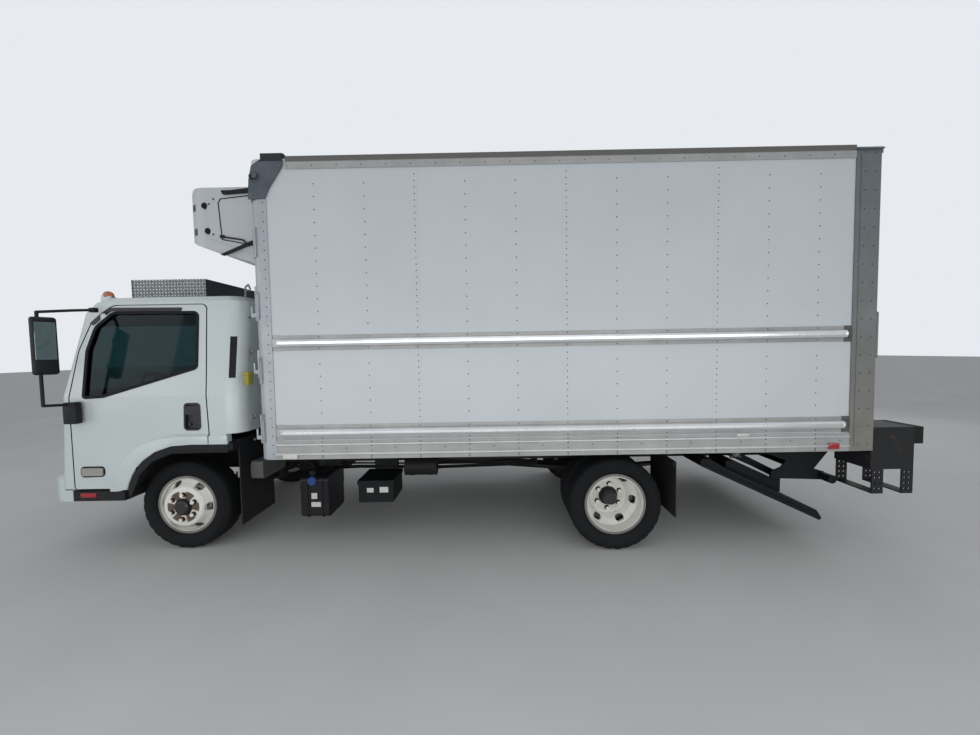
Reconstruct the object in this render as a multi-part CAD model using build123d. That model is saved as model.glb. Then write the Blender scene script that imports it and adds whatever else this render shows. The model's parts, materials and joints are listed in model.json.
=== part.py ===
from build123d import *
import math
import os

# Refrigerated box truck with a low cab over the front axle.
# Millimetres. X runs from the bumper to the rear, Y to the truck's right, Z up from the ground.
# The origin is on the ground, at the middle of the length and of the width.

# Driving dimensions of the whole truck
WHEELBASE = 3810
FRONT_OVERHANG = 1204
REAR_OVERHANG = 2080
BODY_SETBACK = 810
BODY_LENGTH = WHEELBASE + REAR_OVERHANG - BODY_SETBACK
BODY_WIDTH = 2286
BODY_BOTTOM = 867
BODY_HEIGHT = 2458
STEP_LENGTH = 355
DOCK_RUBBER = 78
OVERALL_LENGTH = FRONT_OVERHANG + BODY_SETBACK + BODY_LENGTH + STEP_LENGTH + DOCK_RUBBER
FRONT_AXLE = FRONT_OVERHANG - OVERALL_LENGTH / 2
REAR_AXLE = FRONT_AXLE + WHEELBASE
BODY_FRONT = FRONT_AXLE + BODY_SETBACK
BODY_REAR = BODY_FRONT + BODY_LENGTH
BODY_TOP = BODY_BOTTOM + BODY_HEIGHT
BODY_SIDE = BODY_WIDTH / 2

# Wheels and tyres
TYRE_RADIUS = 400
TYRE_WIDTH = 226
FRONT_TRACK = 1665
REAR_TRACK = 1650
RIM_RADIUS = 247
RIM_WALL = 11
RIM_FLANGE = 17
RIM_FLANGE_THICK = 12
RIM_HALF_WIDTH = 85
DISC_OFFSET = 128
DISC_THICK = 12
DISC_CREST_RADIUS = 180
LUG_CIRCLE = 222.25
LUG_COUNT = 6
LUG_RADIUS = 16
RIGHT_LUG_RADIUS = 15.7
LUG_HEIGHT = 30
LUG_PHASE = 25
RIGHT_WHEEL_TURN = 20
HAND_HOLES = 6
HAND_HOLE_CENTRE = 203
HAND_HOLE_LONG = 76
HAND_HOLE_WIDE = 46
TYRE_SIDES = 40
HUB_RADIUS = 62
HUB_CAP_HEIGHT = 34
REAR_HUB_LENGTH = 100
SPINDLE_RADIUS = 30
DRUM_RADIUS = 165
RUN_GAP = 0.3
BORE_GAP = 2

# Steering and axles
KINGPIN_OFFSET = 132
KINGPIN_RADIUS = 14
BOSS_RADIUS = 38
BOSS_HEIGHT = 90
LUG_PLATE = 40
AXLE_BEAM_WIDTH = 80
AXLE_BEAM_HEIGHT = 84
STEER_ARM = 165
TIE_ROD_RADIUS = 15
AXLE_TUBE_RADIUS = 62
DIFF_RADIUS = 185
SPRING_WIDTH = 70
SPRING_THICK = 62
SPRING_SPAN = (1150, 1250)

# Frame
RAIL_OUTSIDE = 851
RAIL_HEIGHT = 190
RAIL_FLANGE = 64
RAIL_WEB = 8
RAIL_TOP = 820
RAIL_FRONT_INSET = 190
RAIL_REAR_INSET = 170
CROSS_TUBE_RADIUS = 45

# Insulated body
WALL = 75
ROOF_THICK = 95
ROOF_BEVEL = 22
FLOOR_TOP = 1056
FLOOR_THICK = 110
CORNER_RADIUS = 100
POST_STRIP = 59
REAR_FRAME_DEPTH = 200
REAR_POST = 110
REAR_HEADER = 190
TOP_RAIL = 101
BOTTOM_RAIL = 153
RUB_RAIL_HEIGHT = 125
RUB_RAIL_PROUD = 38
RAIL_SKIN = 6
TOP_RAIL_START = 326
LOWER_RUB_CENTRE = 1092
UPPER_RUB_CENTRE = 1832
BEAM_COUNT = 12
BEAM_WIDTH = 60
SILL_WIDTH = 64
DOOR_PANELS = 7
DOOR_RECESS = 60
DOOR_THICK = 55
PANEL_GROOVE = 8

# Cab
CAB_WALL = 60
CAB_BACK = 597
CAB_HALF_WIDTH = 1032
CAB_FLOOR = 600
REAR_TURN = 120
TUNNEL_HALF = 500
TUNNEL_TOP = 880
DOOR_GAP = 10
GLASS_THICK = 6
GLASS_INSET = 16
HINGE_IN = 22
HINGE_AHEAD = 60
HINGE_PIN = 6
HINGE_EYE = 12
HINGE_HEIGHTS = (850, 1180)
HINGE_LENGTH = 50

# Refrigeration unit
UNIT_HALF = 970
UNIT_DEPTH = 680
UNIT_CORNER = 200
UNIT_TOP = 3170


def box(x0, x1, y0, y1, z0, z1):
    """A box between two values of each coordinate."""
    return Pos((x0 + x1) / 2, (y0 + y1) / 2, (z0 + z1) / 2) * Box(x1 - x0, y1 - y0, z1 - z0)


def side_prism(outline, y0, y1):
    """An outline of (x, z) points, pushed from y0 to y1."""
    plane = Plane((0, y1, 0), x_dir=(1, 0, 0), z_dir=(0, -1, 0))
    return extrude(plane * make_face(Polyline(*outline, close=True)), y1 - y0)


def rounded_side_prism(outline, radii, y0, y1):
    """An outline of (x, z) points with a radius at each corner, pushed from y0 to y1."""
    plane = Plane((0, y1, 0), x_dir=(1, 0, 0), z_dir=(0, -1, 0))
    line = FilletPolyline(*outline, radius=radii, close=True)
    return extrude(plane * make_face(line), y1 - y0)


def front_prism(outline, x0, x1):
    """An outline of (y, z) points, pushed from x0 to x1."""
    plane = Plane((x0, 0, 0), x_dir=(0, 1, 0), z_dir=(1, 0, 0))
    return extrude(plane * make_face(Polyline(*outline, close=True)), x1 - x0)


def plan_prism(outline, z0, z1):
    """An outline of (x, y) points, pushed from z0 to z1."""
    return extrude(Pos(0, 0, z0) * make_face(Polyline(*outline, close=True)), z1 - z0)


def cylinder_y(x, z, radius, y0, y1):
    return Pos(x, (y0 + y1) / 2, z) * Rot(90, 0, 0) * Cylinder(radius, y1 - y0)


def cylinder_x(y, z, radius, x0, x1):
    return Pos((x0 + x1) / 2, y, z) * Rot(0, 90, 0) * Cylinder(radius, x1 - x0)


def cylinder_z(x, y, radius, z0, z1):
    return Pos(x, y, (z0 + z1) / 2) * Cylinder(radius, z1 - z0)


def joined(pieces):
    """All the pieces fused, or kept as solids of one node where they don't touch."""
    whole = pieces[0]
    for piece in pieces[1:]:
        whole = whole + piece
    return whole


def mirrored(piece):
    """The same piece on the other side of the truck."""
    return mirror(piece, about=Plane.XZ)


def both_sides(piece):
    return joined([piece, mirrored(piece)])


def turned(profile):
    """A solid turned about Y from (radius, distance outwards) points."""
    return revolve(make_face(Polyline(*profile, close=True)), Axis.Y)


# Wheels, made about the Y axis with the outside of the truck at +Y
BEAD_HALF = RIM_HALF_WIDTH - RIM_FLANGE_THICK
FLANGE_RADIUS = RIM_RADIUS + RIM_FLANGE
SHOULDER = TYRE_WIDTH / 2


def ring_stack(sections):
    """Many-sided stack through (radius, distance outwards) sections, with a corner at the bottom."""
    faces = []
    for radius, out in sections:
        place = Plane((0, out, 0), x_dir=(1, 0, 0), z_dir=(0, 1, 0))
        faces.append(place * RegularPolygon(radius, TYRE_SIDES))
    return loft(faces, ruled=True)


def tyre():
    """One tyre between the flanges of its rim, with a flat tread and round shoulders."""
    flat = 1 / math.cos(math.pi / TYRE_SIDES)
    tread = [(TYRE_RADIUS - 55, SHOULDER), (TYRE_RADIUS - 15, SHOULDER - 11), (TYRE_RADIUS, SHOULDER - 36)]
    form = ring_stack([(radius, -out) for radius, out in tread] + list(reversed(tread)))
    bead = ((FLANGE_RADIUS + 1) * flat, BEAD_HALF - RUN_GAP)
    dish = ring_stack([bead, (FLANGE_RADIUS + 42, SHOULDER + 2)])
    hole = ring_stack([((RIM_RADIUS + RUN_GAP) * flat, -SHOULDER - 5),
                       ((RIM_RADIUS + RUN_GAP) * flat, SHOULDER + 5)])
    return form - dish - mirrored(dish) - hole


def rim_barrel():
    inner = RIM_RADIUS - RIM_WALL
    return turned([
        (inner, -RIM_HALF_WIDTH),
        (FLANGE_RADIUS, -RIM_HALF_WIDTH),
        (FLANGE_RADIUS, -BEAD_HALF),
        (RIM_RADIUS, -BEAD_HALF),
        (RIM_RADIUS, BEAD_HALF),
        (FLANGE_RADIUS, BEAD_HALF),
        (FLANGE_RADIUS, RIM_HALF_WIDTH),
        (inner, RIM_HALF_WIDTH),
    ])


def rim_disc():
    """The pressed disc, its face DISC_OFFSET outside the middle of the rim."""
    inner = RIM_RADIUS - RIM_WALL / 2
    back = DISC_OFFSET - DISC_THICK
    disc = turned([
        (inner, 40),
        (DISC_CREST_RADIUS + 28, 74),
        (DISC_CREST_RADIUS, DISC_OFFSET - 10),
        (DISC_CREST_RADIUS - 12, DISC_OFFSET),
        (HUB_RADIUS - 4, DISC_OFFSET),
        (HUB_RADIUS - 4, back),
        (DISC_CREST_RADIUS - 18, back),
        (DISC_CREST_RADIUS + 16, 66),
        (inner, 24),
    ])
    for number in range(HAND_HOLES):
        angle = math.radians(LUG_PHASE + 360 / HAND_HOLES * (number + 0.5))
        place = Plane((HAND_HOLE_CENTRE * math.cos(angle), 0, HAND_HOLE_CENTRE * math.sin(angle)),
                      x_dir=(-math.sin(angle), 0, math.cos(angle)), z_dir=(0, 1, 0))
        disc = disc - extrude(place * SlotOverall(HAND_HOLE_LONG, HAND_HOLE_WIDE), DISC_OFFSET + 10)
    return disc


def lugs(face, radius):
    """Ring of wheel nuts. Those of the right-hand wheels are a hair smaller than the left-hand ones."""
    ring = []
    for number in range(LUG_COUNT):
        angle = math.radians(LUG_PHASE + 360 / LUG_COUNT * number)
        ring.append(cylinder_y(LUG_CIRCLE / 2 * math.cos(angle), LUG_CIRCLE / 2 * math.sin(angle),
                               radius, face, face + LUG_HEIGHT))
    return ring


FRONT_WHEEL_Y = FRONT_TRACK / 2
KINGPIN_Y = FRONT_WHEEL_Y - KINGPIN_OFFSET
FRONT_HUB_BACK = -55
REAR_WHEEL_Y = REAR_TRACK / 2
REAR_HUB_BACK = -165


def front_rim(lug_radius=LUG_RADIUS):
    """Single wheel with its disc towards the outside, hub and brake drum."""
    hub = turned([
        (SPINDLE_RADIUS + BORE_GAP, FRONT_HUB_BACK),
        (DRUM_RADIUS, FRONT_HUB_BACK),
        (DRUM_RADIUS, FRONT_HUB_BACK + 70),
        (HUB_RADIUS + 20, FRONT_HUB_BACK + 85),
        (HUB_RADIUS + 20, DISC_OFFSET - DISC_THICK),
        (HUB_RADIUS, DISC_OFFSET - DISC_THICK),
        (HUB_RADIUS, DISC_OFFSET + HUB_CAP_HEIGHT - 12),
        (HUB_RADIUS - 14, DISC_OFFSET + HUB_CAP_HEIGHT),
        (0, DISC_OFFSET + HUB_CAP_HEIGHT),
        (0, DISC_OFFSET - 50),
        (SPINDLE_RADIUS + BORE_GAP, DISC_OFFSET - 50),
    ])
    return joined([rim_barrel(), rim_disc(), hub] + lugs(DISC_OFFSET, lug_radius))


def rear_rims(lug_radius=LUG_RADIUS):
    """Two wheels back to back on one hub, whose flange face is at y = 0."""
    inner = Pos(0, -DISC_OFFSET, 0) * joined([rim_barrel(), rim_disc()])
    outer = mirrored(inner)
    hub = turned([
        (SPINDLE_RADIUS + 10 + BORE_GAP, REAR_HUB_BACK),
        (DRUM_RADIUS + 12, REAR_HUB_BACK),
        (DRUM_RADIUS + 12, REAR_HUB_BACK + 110),
        (HUB_RADIUS + 30, REAR_HUB_BACK + 120),
        (HUB_RADIUS + 30, -DISC_THICK),
        (HUB_RADIUS, -DISC_THICK),
        (HUB_RADIUS, REAR_HUB_LENGTH - 20),
        (HUB_RADIUS - 10, REAR_HUB_LENGTH),
        (0, REAR_HUB_LENGTH),
        (0, 0),
        (SPINDLE_RADIUS + 10 + BORE_GAP, 0),
    ])
    return joined([inner, outer, hub] + lugs(DISC_THICK, lug_radius))


def rear_tyres():
    return joined([Pos(0, -DISC_OFFSET, 0) * tyre(), Pos(0, DISC_OFFSET, 0) * tyre()])


# Front axle, knuckles and tie rod
BOSS_LOW = TYRE_RADIUS - 10 - BOSS_HEIGHT / 2
BOSS_HIGH = BOSS_LOW + BOSS_HEIGHT
KNUCKLE_BACK = KINGPIN_Y + BOSS_RADIUS + 4
HUB_SEAT = FRONT_WHEEL_Y + FRONT_HUB_BACK - RUN_GAP


def front_axle():
    """Dropped beam with a boss at each kingpin."""
    half = KINGPIN_Y - BOSS_RADIUS + 10
    beam = front_prism([
        (-half, BOSS_LOW + 4), (half, BOSS_LOW + 4), (half, BOSS_HIGH - 6), (half - 70, BOSS_HIGH - 6),
        (half - 160, BOSS_HIGH - 60), (-half + 160, BOSS_HIGH - 60), (-half + 70, BOSS_HIGH - 6),
        (-half, BOSS_HIGH - 6),
    ], FRONT_AXLE - AXLE_BEAM_WIDTH / 2 + 8, FRONT_AXLE + AXLE_BEAM_WIDTH / 2 - 8)
    low = front_prism([
        (-half + 60, BOSS_LOW + 10), (-half + 160, BOSS_LOW - 40), (half - 160, BOSS_LOW - 40),
        (half - 60, BOSS_LOW + 10),
    ], FRONT_AXLE - AXLE_BEAM_WIDTH / 2, FRONT_AXLE + AXLE_BEAM_WIDTH / 2)
    pads = both_sides(box(FRONT_AXLE - 60, FRONT_AXLE + 60, SPRING_Y - 45, SPRING_Y + 45,
                          BOSS_HIGH - 62, BOSS_HIGH - 42))
    bosses = both_sides(cylinder_z(FRONT_AXLE, KINGPIN_Y, BOSS_RADIUS, BOSS_LOW, BOSS_HIGH))
    bores = both_sides(cylinder_z(FRONT_AXLE, KINGPIN_Y, KINGPIN_RADIUS + BORE_GAP,
                                  BOSS_LOW - 5, BOSS_HIGH + 5))
    return joined([beam, low, pads, bosses]) - bores


def knuckle():
    """Right-hand steering knuckle with kingpin, spindle and steering arm."""
    upper = cylinder_z(FRONT_AXLE, KINGPIN_Y, BOSS_RADIUS, BOSS_HIGH + RUN_GAP, BOSS_HIGH + LUG_PLATE)
    lower = cylinder_z(FRONT_AXLE, KINGPIN_Y, BOSS_RADIUS, BOSS_LOW - LUG_PLATE, BOSS_LOW - RUN_GAP)
    pin = cylinder_z(FRONT_AXLE, KINGPIN_Y, KINGPIN_RADIUS, BOSS_LOW - LUG_PLATE, BOSS_HIGH + LUG_PLATE)
    wide = BOSS_RADIUS - 4
    web = box(FRONT_AXLE - wide, FRONT_AXLE + wide, KNUCKLE_BACK, HUB_SEAT,
              BOSS_LOW - LUG_PLATE, BOSS_HIGH + LUG_PLATE)
    cheeks = joined([
        box(FRONT_AXLE - wide, FRONT_AXLE + wide, KINGPIN_Y, KNUCKLE_BACK + 1,
            BOSS_HIGH + RUN_GAP, BOSS_HIGH + LUG_PLATE),
        box(FRONT_AXLE - wide, FRONT_AXLE + wide, KINGPIN_Y, KNUCKLE_BACK + 1,
            BOSS_LOW - LUG_PLATE, BOSS_LOW - RUN_GAP),
    ])
    spindle = cylinder_y(FRONT_AXLE, TYRE_RADIUS, SPINDLE_RADIUS, HUB_SEAT - 10,
                         FRONT_WHEEL_Y + DISC_OFFSET - 55)
    flange = cylinder_y(FRONT_AXLE, TYRE_RADIUS, SPINDLE_RADIUS + 30, HUB_SEAT - 15, HUB_SEAT)
    arm = box(FRONT_AXLE, FRONT_AXLE + STEER_ARM + 20, KINGPIN_Y - 22, KINGPIN_Y + 22,
              BOSS_LOW - LUG_PLATE, BOSS_LOW - 12)
    return joined([upper, lower, pin, web, cheeks, spindle, flange, arm])


def tie_rod():
    """Rod between the two steering arms, under them."""
    top = BOSS_LOW - LUG_PLATE - RUN_GAP
    x = FRONT_AXLE + STEER_ARM
    middle = top - TIE_ROD_RADIUS - 3
    rod = cylinder_y(x, middle, TIE_ROD_RADIUS, -KINGPIN_Y, KINGPIN_Y)
    ends = both_sides(cylinder_z(x, KINGPIN_Y, TIE_ROD_RADIUS + 7, middle - TIE_ROD_RADIUS - 3, top))
    return joined([rod, ends])


# Frame, springs, rear axle and driveline
RAIL_Y = RAIL_OUTSIDE / 2
RAIL_BOTTOM = RAIL_TOP - RAIL_HEIGHT
RAIL_FRONT = FRONT_AXLE - FRONT_OVERHANG + RAIL_FRONT_INSET
RAIL_REAR = BODY_REAR - RAIL_REAR_INSET
SPRING_Y = RAIL_Y - RAIL_FLANGE / 2
HANGER_WIDTH = 60
# springs: axle x, height of the spring's middle at the axle, half span
SPRINGS = (
    (FRONT_AXLE, BOSS_HIGH - 42 + SPRING_THICK / 2, SPRING_SPAN[0] / 2),
    (REAR_AXLE, TYRE_RADIUS + AXLE_TUBE_RADIUS + 12 + SPRING_THICK / 2, SPRING_SPAN[1] / 2),
)


def frame_rails():
    """Two channels open to the middle, with hangers for the springs and cab mounts on top."""
    outer = [(RAIL_Y, RAIL_BOTTOM), (RAIL_Y, RAIL_TOP), (RAIL_Y - RAIL_FLANGE, RAIL_TOP),
             (RAIL_Y - RAIL_FLANGE, RAIL_TOP - RAIL_WEB), (RAIL_Y - RAIL_WEB, RAIL_TOP - RAIL_WEB),
             (RAIL_Y - RAIL_WEB, RAIL_BOTTOM + RAIL_WEB), (RAIL_Y - RAIL_FLANGE, RAIL_BOTTOM + RAIL_WEB),
             (RAIL_Y - RAIL_FLANGE, RAIL_BOTTOM)]
    pieces = [front_prism(outer, RAIL_FRONT, RAIL_REAR)]
    for axle_x, middle, half in SPRINGS:
        for end in (-1, 1):
            x = axle_x + end * half
            pieces.append(box(x - HANGER_WIDTH / 2, x + HANGER_WIDTH / 2, SPRING_Y - SPRING_WIDTH / 2,
                              SPRING_Y + SPRING_WIDTH / 2, middle + SPRING_THICK / 2 + 30, RAIL_BOTTOM))
    for x, height in ((FRONT_AXLE - 760, TUNNEL_TOP), (FRONT_AXLE + 470, ARCH_LINE[-1][1])):
        pieces.append(box(x - 45, x + 45, RAIL_Y - RAIL_FLANGE, RAIL_Y, RAIL_TOP, height))
    return both_sides(joined(pieces))


def leaf_springs():
    """Stepped packs of leaves, thick at the axle and thin at the hangers."""
    packs = []
    for axle_x, middle, half in SPRINGS:
        low = middle - SPRING_THICK / 2
        rise = SPRING_THICK
        outline = [
            (axle_x - half - 30, low + rise + 14), (axle_x - half - 30, low + rise + 30),
            (axle_x - half + 30, low + rise + 30),
            (axle_x - 90, low + SPRING_THICK), (axle_x + 90, low + SPRING_THICK),
            (axle_x + half - 30, low + rise + 30), (axle_x + half + 30, low + rise + 30),
            (axle_x + half + 30, low + rise + 14), (axle_x + half - 30, low + rise + 8),
            (axle_x + 90, low), (axle_x - 90, low), (axle_x - half + 30, low + rise + 8),
        ]
        packs.append(side_prism(outline, SPRING_Y - SPRING_WIDTH / 2, SPRING_Y + SPRING_WIDTH / 2))
    return both_sides(joined(packs))


def crossmembers():
    """Tubes and channels between the two rails."""
    inside = RAIL_Y - RAIL_WEB
    middle = RAIL_TOP - RAIL_HEIGHT / 2
    stations = (RAIL_FRONT + 80, FRONT_AXLE + 1250, REAR_AXLE - 1000, REAR_AXLE - 380,
                REAR_AXLE + 520, RAIL_REAR - 60)
    return joined([cylinder_y(x, middle, CROSS_TUBE_RADIUS, -inside, inside) for x in stations])


def rear_axle():
    """Banjo housing, seats for the springs and a spindle at each end."""
    seat = REAR_WHEEL_Y + REAR_HUB_BACK - RUN_GAP
    tube = cylinder_y(REAR_AXLE, TYRE_RADIUS, AXLE_TUBE_RADIUS, -seat, seat)
    ends = both_sides(joined([
        cylinder_y(REAR_AXLE, TYRE_RADIUS, AXLE_TUBE_RADIUS + 25, seat - 20, seat),
        cylinder_y(REAR_AXLE, TYRE_RADIUS, SPINDLE_RADIUS + 10, seat - 10, REAR_WHEEL_Y - 10),
        box(REAR_AXLE - 70, REAR_AXLE + 70, SPRING_Y - 45, SPRING_Y + 45, TYRE_RADIUS,
            TYRE_RADIUS + AXLE_TUBE_RADIUS + 12),
    ]))
    casing = Pos(REAR_AXLE, 0, TYRE_RADIUS) * Sphere(DIFF_RADIUS)
    nose = cylinder_x(0, TYRE_RADIUS + 20, 85, REAR_AXLE - DIFF_RADIUS - 120, REAR_AXLE)
    return joined([tube, ends, casing, nose])


ENGINE_BACK = FRONT_AXLE + 620
GEARBOX_BACK = FRONT_AXLE + 1150


def engine_block():
    """Engine and gearbox as one plain mass between the rails."""
    engine = box(FRONT_AXLE - 140, ENGINE_BACK, -280, 280, 540, 1010)
    gearbox = box(ENGINE_BACK - 1, GEARBOX_BACK, -170, 170, 470, 790)
    mounts = both_sides(box(FRONT_AXLE + 300, FRONT_AXLE + 380, 270, RAIL_Y - RAIL_WEB,
                            RAIL_BOTTOM + 60, RAIL_BOTTOM + 120))
    return joined([engine, gearbox, mounts])


def driveshaft():
    """Propeller shaft from the gearbox to the nose of the rear axle."""
    start = Vector(GEARBOX_BACK, 0, 620)
    end = Vector(REAR_AXLE - DIFF_RADIUS - 120, 0, TYRE_RADIUS + 20)
    run = end - start
    place = Plane(origin=start, z_dir=run)
    tube = place * Pos(0, 0, run.length / 2) * Cylinder(45, run.length - 70)
    yokes = [place * Pos(0, 0, 30) * Cylinder(58, 60),
             place * Pos(0, 0, run.length - 30) * Cylinder(58, 60)]
    trimmed = joined([tube] + yokes)
    return trimmed & box(start.X, end.X, -100, 100, 200, 900)


def rounded_block(x0, x1, y0, y1, z0, z1, radius):
    """A block whose edges along X are rounded."""
    outline = FilletPolyline((y0, z0), (y1, z0), (y1, z1), (y0, z1), radius=radius, close=True)
    plane = Plane((x0, 0, 0), x_dir=(0, 1, 0), z_dir=(1, 0, 0))
    return extrude(plane * make_face(outline), x1 - x0)


def tanks():
    """Urea tank with its cap on the left, fuel tank on the right."""
    x0, x1 = FRONT_AXLE + 980, FRONT_AXLE + 1238
    urea = rounded_block(x0, x1, -830, -RAIL_Y - 60, 229, 602, 36)
    for x in (x0 + 62, x1 - 62):
        urea = urea + rounded_block(x - 10, x + 10, -837, -RAIL_Y - 53, 222, 609, 40)
    cap = cylinder_z(x0 + 90, -760, 36, 600, 652)
    hanger = box(x0 + 20, x1 - 20, -RAIL_Y - 61, -RAIL_Y, 420, RAIL_TOP - 20)
    fuel = rounded_block(FRONT_AXLE + 1950, REAR_AXLE - 790, RAIL_Y + 40, RAIL_Y + 470, 290, 680, 60)
    straps = box(FRONT_AXLE + 2100, REAR_AXLE - 950, RAIL_Y, RAIL_Y + 41, 450, RAIL_TOP - 20)
    return joined([joined([urea, cap, hanger]), joined([fuel, straps])])


def battery_box():
    """Battery box with a lid that overlaps its case, and its bracket on the left rail."""
    x0, x1 = FRONT_AXLE + 1502, FRONT_AXLE + 1841
    case = box(x0 + 8, x1 - 8, -812, -RAIL_Y - 50, 355, 530)
    lid = box(x0, x1, -820, -RAIL_Y - 45, 520, 560)
    arm = box(FRONT_AXLE + 1560, FRONT_AXLE + 1790, -RAIL_Y - 51, -RAIL_Y, 470, RAIL_TOP - 30)
    return joined([case, lid, arm])


def air_cleaner():
    """Ribbed air cleaner on the left rail behind the front wheel, with its bracket."""
    x0, x1 = FRONT_AXLE + 545, FRONT_AXLE + 655
    case = rounded_block(x0, x1, -850, -RAIL_Y - 60, 603, 766, 24)
    for number in range(4):
        z = 640 + number * 26
        case = case + box(x0 - 4, x1 + 4, -854, -RAIL_Y - 70, z, z + 9)
    bracket = box(x0 + 20, x1 - 20, -RAIL_Y - 61, -RAIL_Y, 640, 720)
    return joined([case, bracket])


def exhaust():
    """Exhaust canister and pipes on the right rail."""
    y = RAIL_Y + 230
    canister = cylinder_x(y, 480, 150, FRONT_AXLE + 980, FRONT_AXLE + 1780)
    bracket = box(FRONT_AXLE + 1200, FRONT_AXLE + 1260, RAIL_Y, y, 560, 640)
    inlet = cylinder_x(y, 480, 50, FRONT_AXLE + 800, FRONT_AXLE + 981)
    return joined([canister, bracket, inlet])


# Cab, lofted between plan sections and split at its real shut lines. Here x counts from the front axle.
CAB_RAIL_FRONT = RAIL_FRONT - FRONT_AXLE
# sections: height, front of the middle, front of the corner, half width, rear face, front and rear
# corner radius
CAB_SECTIONS = (
    (CAB_FLOOR, -1130, -1018, CAB_HALF_WIDTH, CAB_BACK, 80, REAR_TURN),
    (1400, -1120, -970, CAB_HALF_WIDTH, CAB_BACK, 80, REAR_TURN),
    (2130, -985, -825, CAB_HALF_WIDTH - 92, CAB_BACK - 8, 80, REAR_TURN),
    (2225, -930, -760, CAB_HALF_WIDTH - 125, CAB_BACK - 25, 80, REAR_TURN),
    (2270, -840, -680, CAB_HALF_WIDTH - 185, CAB_BACK - 75, 80, REAR_TURN),
    (2292, -700, -560, CAB_HALF_WIDTH - 300, CAB_BACK - 170, 80, REAR_TURN),
)


def cab_section(height, front, corner, half, back, radius, rear_radius, inset):
    """Plan section of the cab, bowed at the front, all of lines and arcs."""
    x_front = front + inset
    x_corner = corner + inset
    x_back = back - inset
    side = half - inset
    turn = max(radius - inset, 20)
    rear = max(rear_radius - inset, 20)
    wide = side - turn
    wide_back = side - rear
    cut = turn * (1 - math.cos(math.pi / 4))
    cut_back = rear * (1 - math.cos(math.pi / 4))
    right_side = [
        ThreePointArc((x_corner, wide, 0), (x_corner + cut, side - cut, 0), (x_corner + turn, side, 0)),
        Line((x_corner + turn, side, 0), (x_back - rear, side, 0)),
        ThreePointArc((x_back - rear, side, 0), (x_back - cut_back, side - cut_back, 0),
                      (x_back, wide_back, 0)),
    ]
    left_side = [
        ThreePointArc((x_back, -wide_back, 0), (x_back - cut_back, -side + cut_back, 0),
                      (x_back - rear, -side, 0)),
        Line((x_back - rear, -side, 0), (x_corner + turn, -side, 0)),
        ThreePointArc((x_corner + turn, -side, 0), (x_corner + cut, -side + cut, 0), (x_corner, -wide, 0)),
    ]
    front_arc = ThreePointArc((x_corner, -wide, 0), (x_front, 0, 0), (x_corner, wide, 0))
    rear_line = Line((x_back, wide_back, 0), (x_back, -wide_back, 0))
    return Pos(0, 0, height) * make_face([front_arc] + right_side + [rear_line] + left_side)


def cab_form(inset):
    """The closed outer form of the cab, taken in by an inset all round."""
    sections = []
    last = len(CAB_SECTIONS) - 1
    for number, (height, front, corner, half, back, radius, rear_radius) in enumerate(CAB_SECTIONS):
        if number == 0:
            height = height + inset
        elif number > 1:
            height = height - inset * (0.35 + 0.65 * (number - 1) / (last - 1))
        sections.append(cab_section(height, front, corner, half, back, radius, rear_radius, inset))
    return loft(sections, ruled=True)


# underside of the cab over the wheel, from the front step to the rear wall
ARCH_LINE = (
    (-564, CAB_FLOOR - 14),
    (-386, 853),
    (-166, 1022),
    (21, 1066),
    (CAB_BACK + 30, 1066),
)
# wheel opening of the flare, seen from the side
FLARE_LINE = (
    (-450, CAB_FLOOR - 14),
    (-280, 836),
    (-118, 955),
    (60, 985),
    (CAB_BACK - 77, 990),
)
# inner edge of the black lip inside the flare
LIP_LINE = (
    (-404, CAB_FLOOR - 14),
    (-240, 800),
    (-98, 898),
    (60, 920),
    (CAB_BACK - 77, 924),
)
FLARE_END = CAB_BACK - 127
FLARE_PROUD = 15
FLARE_DEPTH = 60
# side outline of a door, and the radius of each corner
DOOR_OUTLINE = (
    (-868, CAB_FLOOR - 4),
    (-436, CAB_FLOOR - 4),
    (-272, 832),
    (-114, 948),
    (60, 978),
    (318, 982),
    (300, 1600),
    (276, 2190),
    (-560, 2190),
    (-716, 2050),
    (-812, 1800),
    (-868, 1400),
)
DOOR_RADII = (30, 30, 60, 60, 60, 10, 200, 60, 90, 120, 300, 200)
# side window, and the radius of each corner
WINDOW_OUTLINE = (
    (-756, 1388),
    (-573, 1398),
    (228, 1632),
    (214, 2128),
    (-540, 2136),
    (-690, 2010),
    (-752, 1800),
)
WINDOW_RADII = (30, 120, 40, 50, 90, 120, 200)
WINDSCREEN = ((-930, 1440), (930, 1440), (800, 2150), (-800, 2150))
REAR_WINDOW = ((-560, 1560), (560, 1560), (520, 2050), (-520, 2050))
FRONT_PANEL = ((-850, 720), (850, 720), (850, 1380), (-850, 1380))
GRILLE_OPENING = ((-520, 960), (520, 960), (520, 1150), (-520, 1150))
GRILLE_SLATS = 5
HEADLAMP_OUTLINE = ((560, 770), (960, 790), (985, 960), (900, 1010), (580, 950))
CAB_MIDDLE = -300


def below(line, low):
    """A side outline closed underneath a line."""
    return list(line) + [(line[-1][0], low), (line[0][0], low)]


def raised(line, amount):
    """The line moved up and forwards, for a wall of that thickness over it."""
    moved = [(x - amount * 0.8, z + amount * 0.75) for x, z in line]
    moved[-1] = (line[-1][0], line[-1][1] + amount)
    moved[-2] = (line[-2][0] - amount * 0.1, line[-2][1] + amount)
    return moved


def offset_outline(outline, radii, amount):
    """A rounded side outline grown by an amount, as a face in (x, z)."""
    face = make_face(FilletPolyline(*outline, radius=radii, close=True))
    return offset(face, amount=amount, kind=Kind.ARC) if amount else face


def side_cutter(outline, radii, amount, y0, y1):
    plane = Plane((0, y1, 0), x_dir=(1, 0, 0), z_dir=(0, -1, 0))
    return extrude(plane * offset_outline(outline, radii, amount), y1 - y0)


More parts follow.
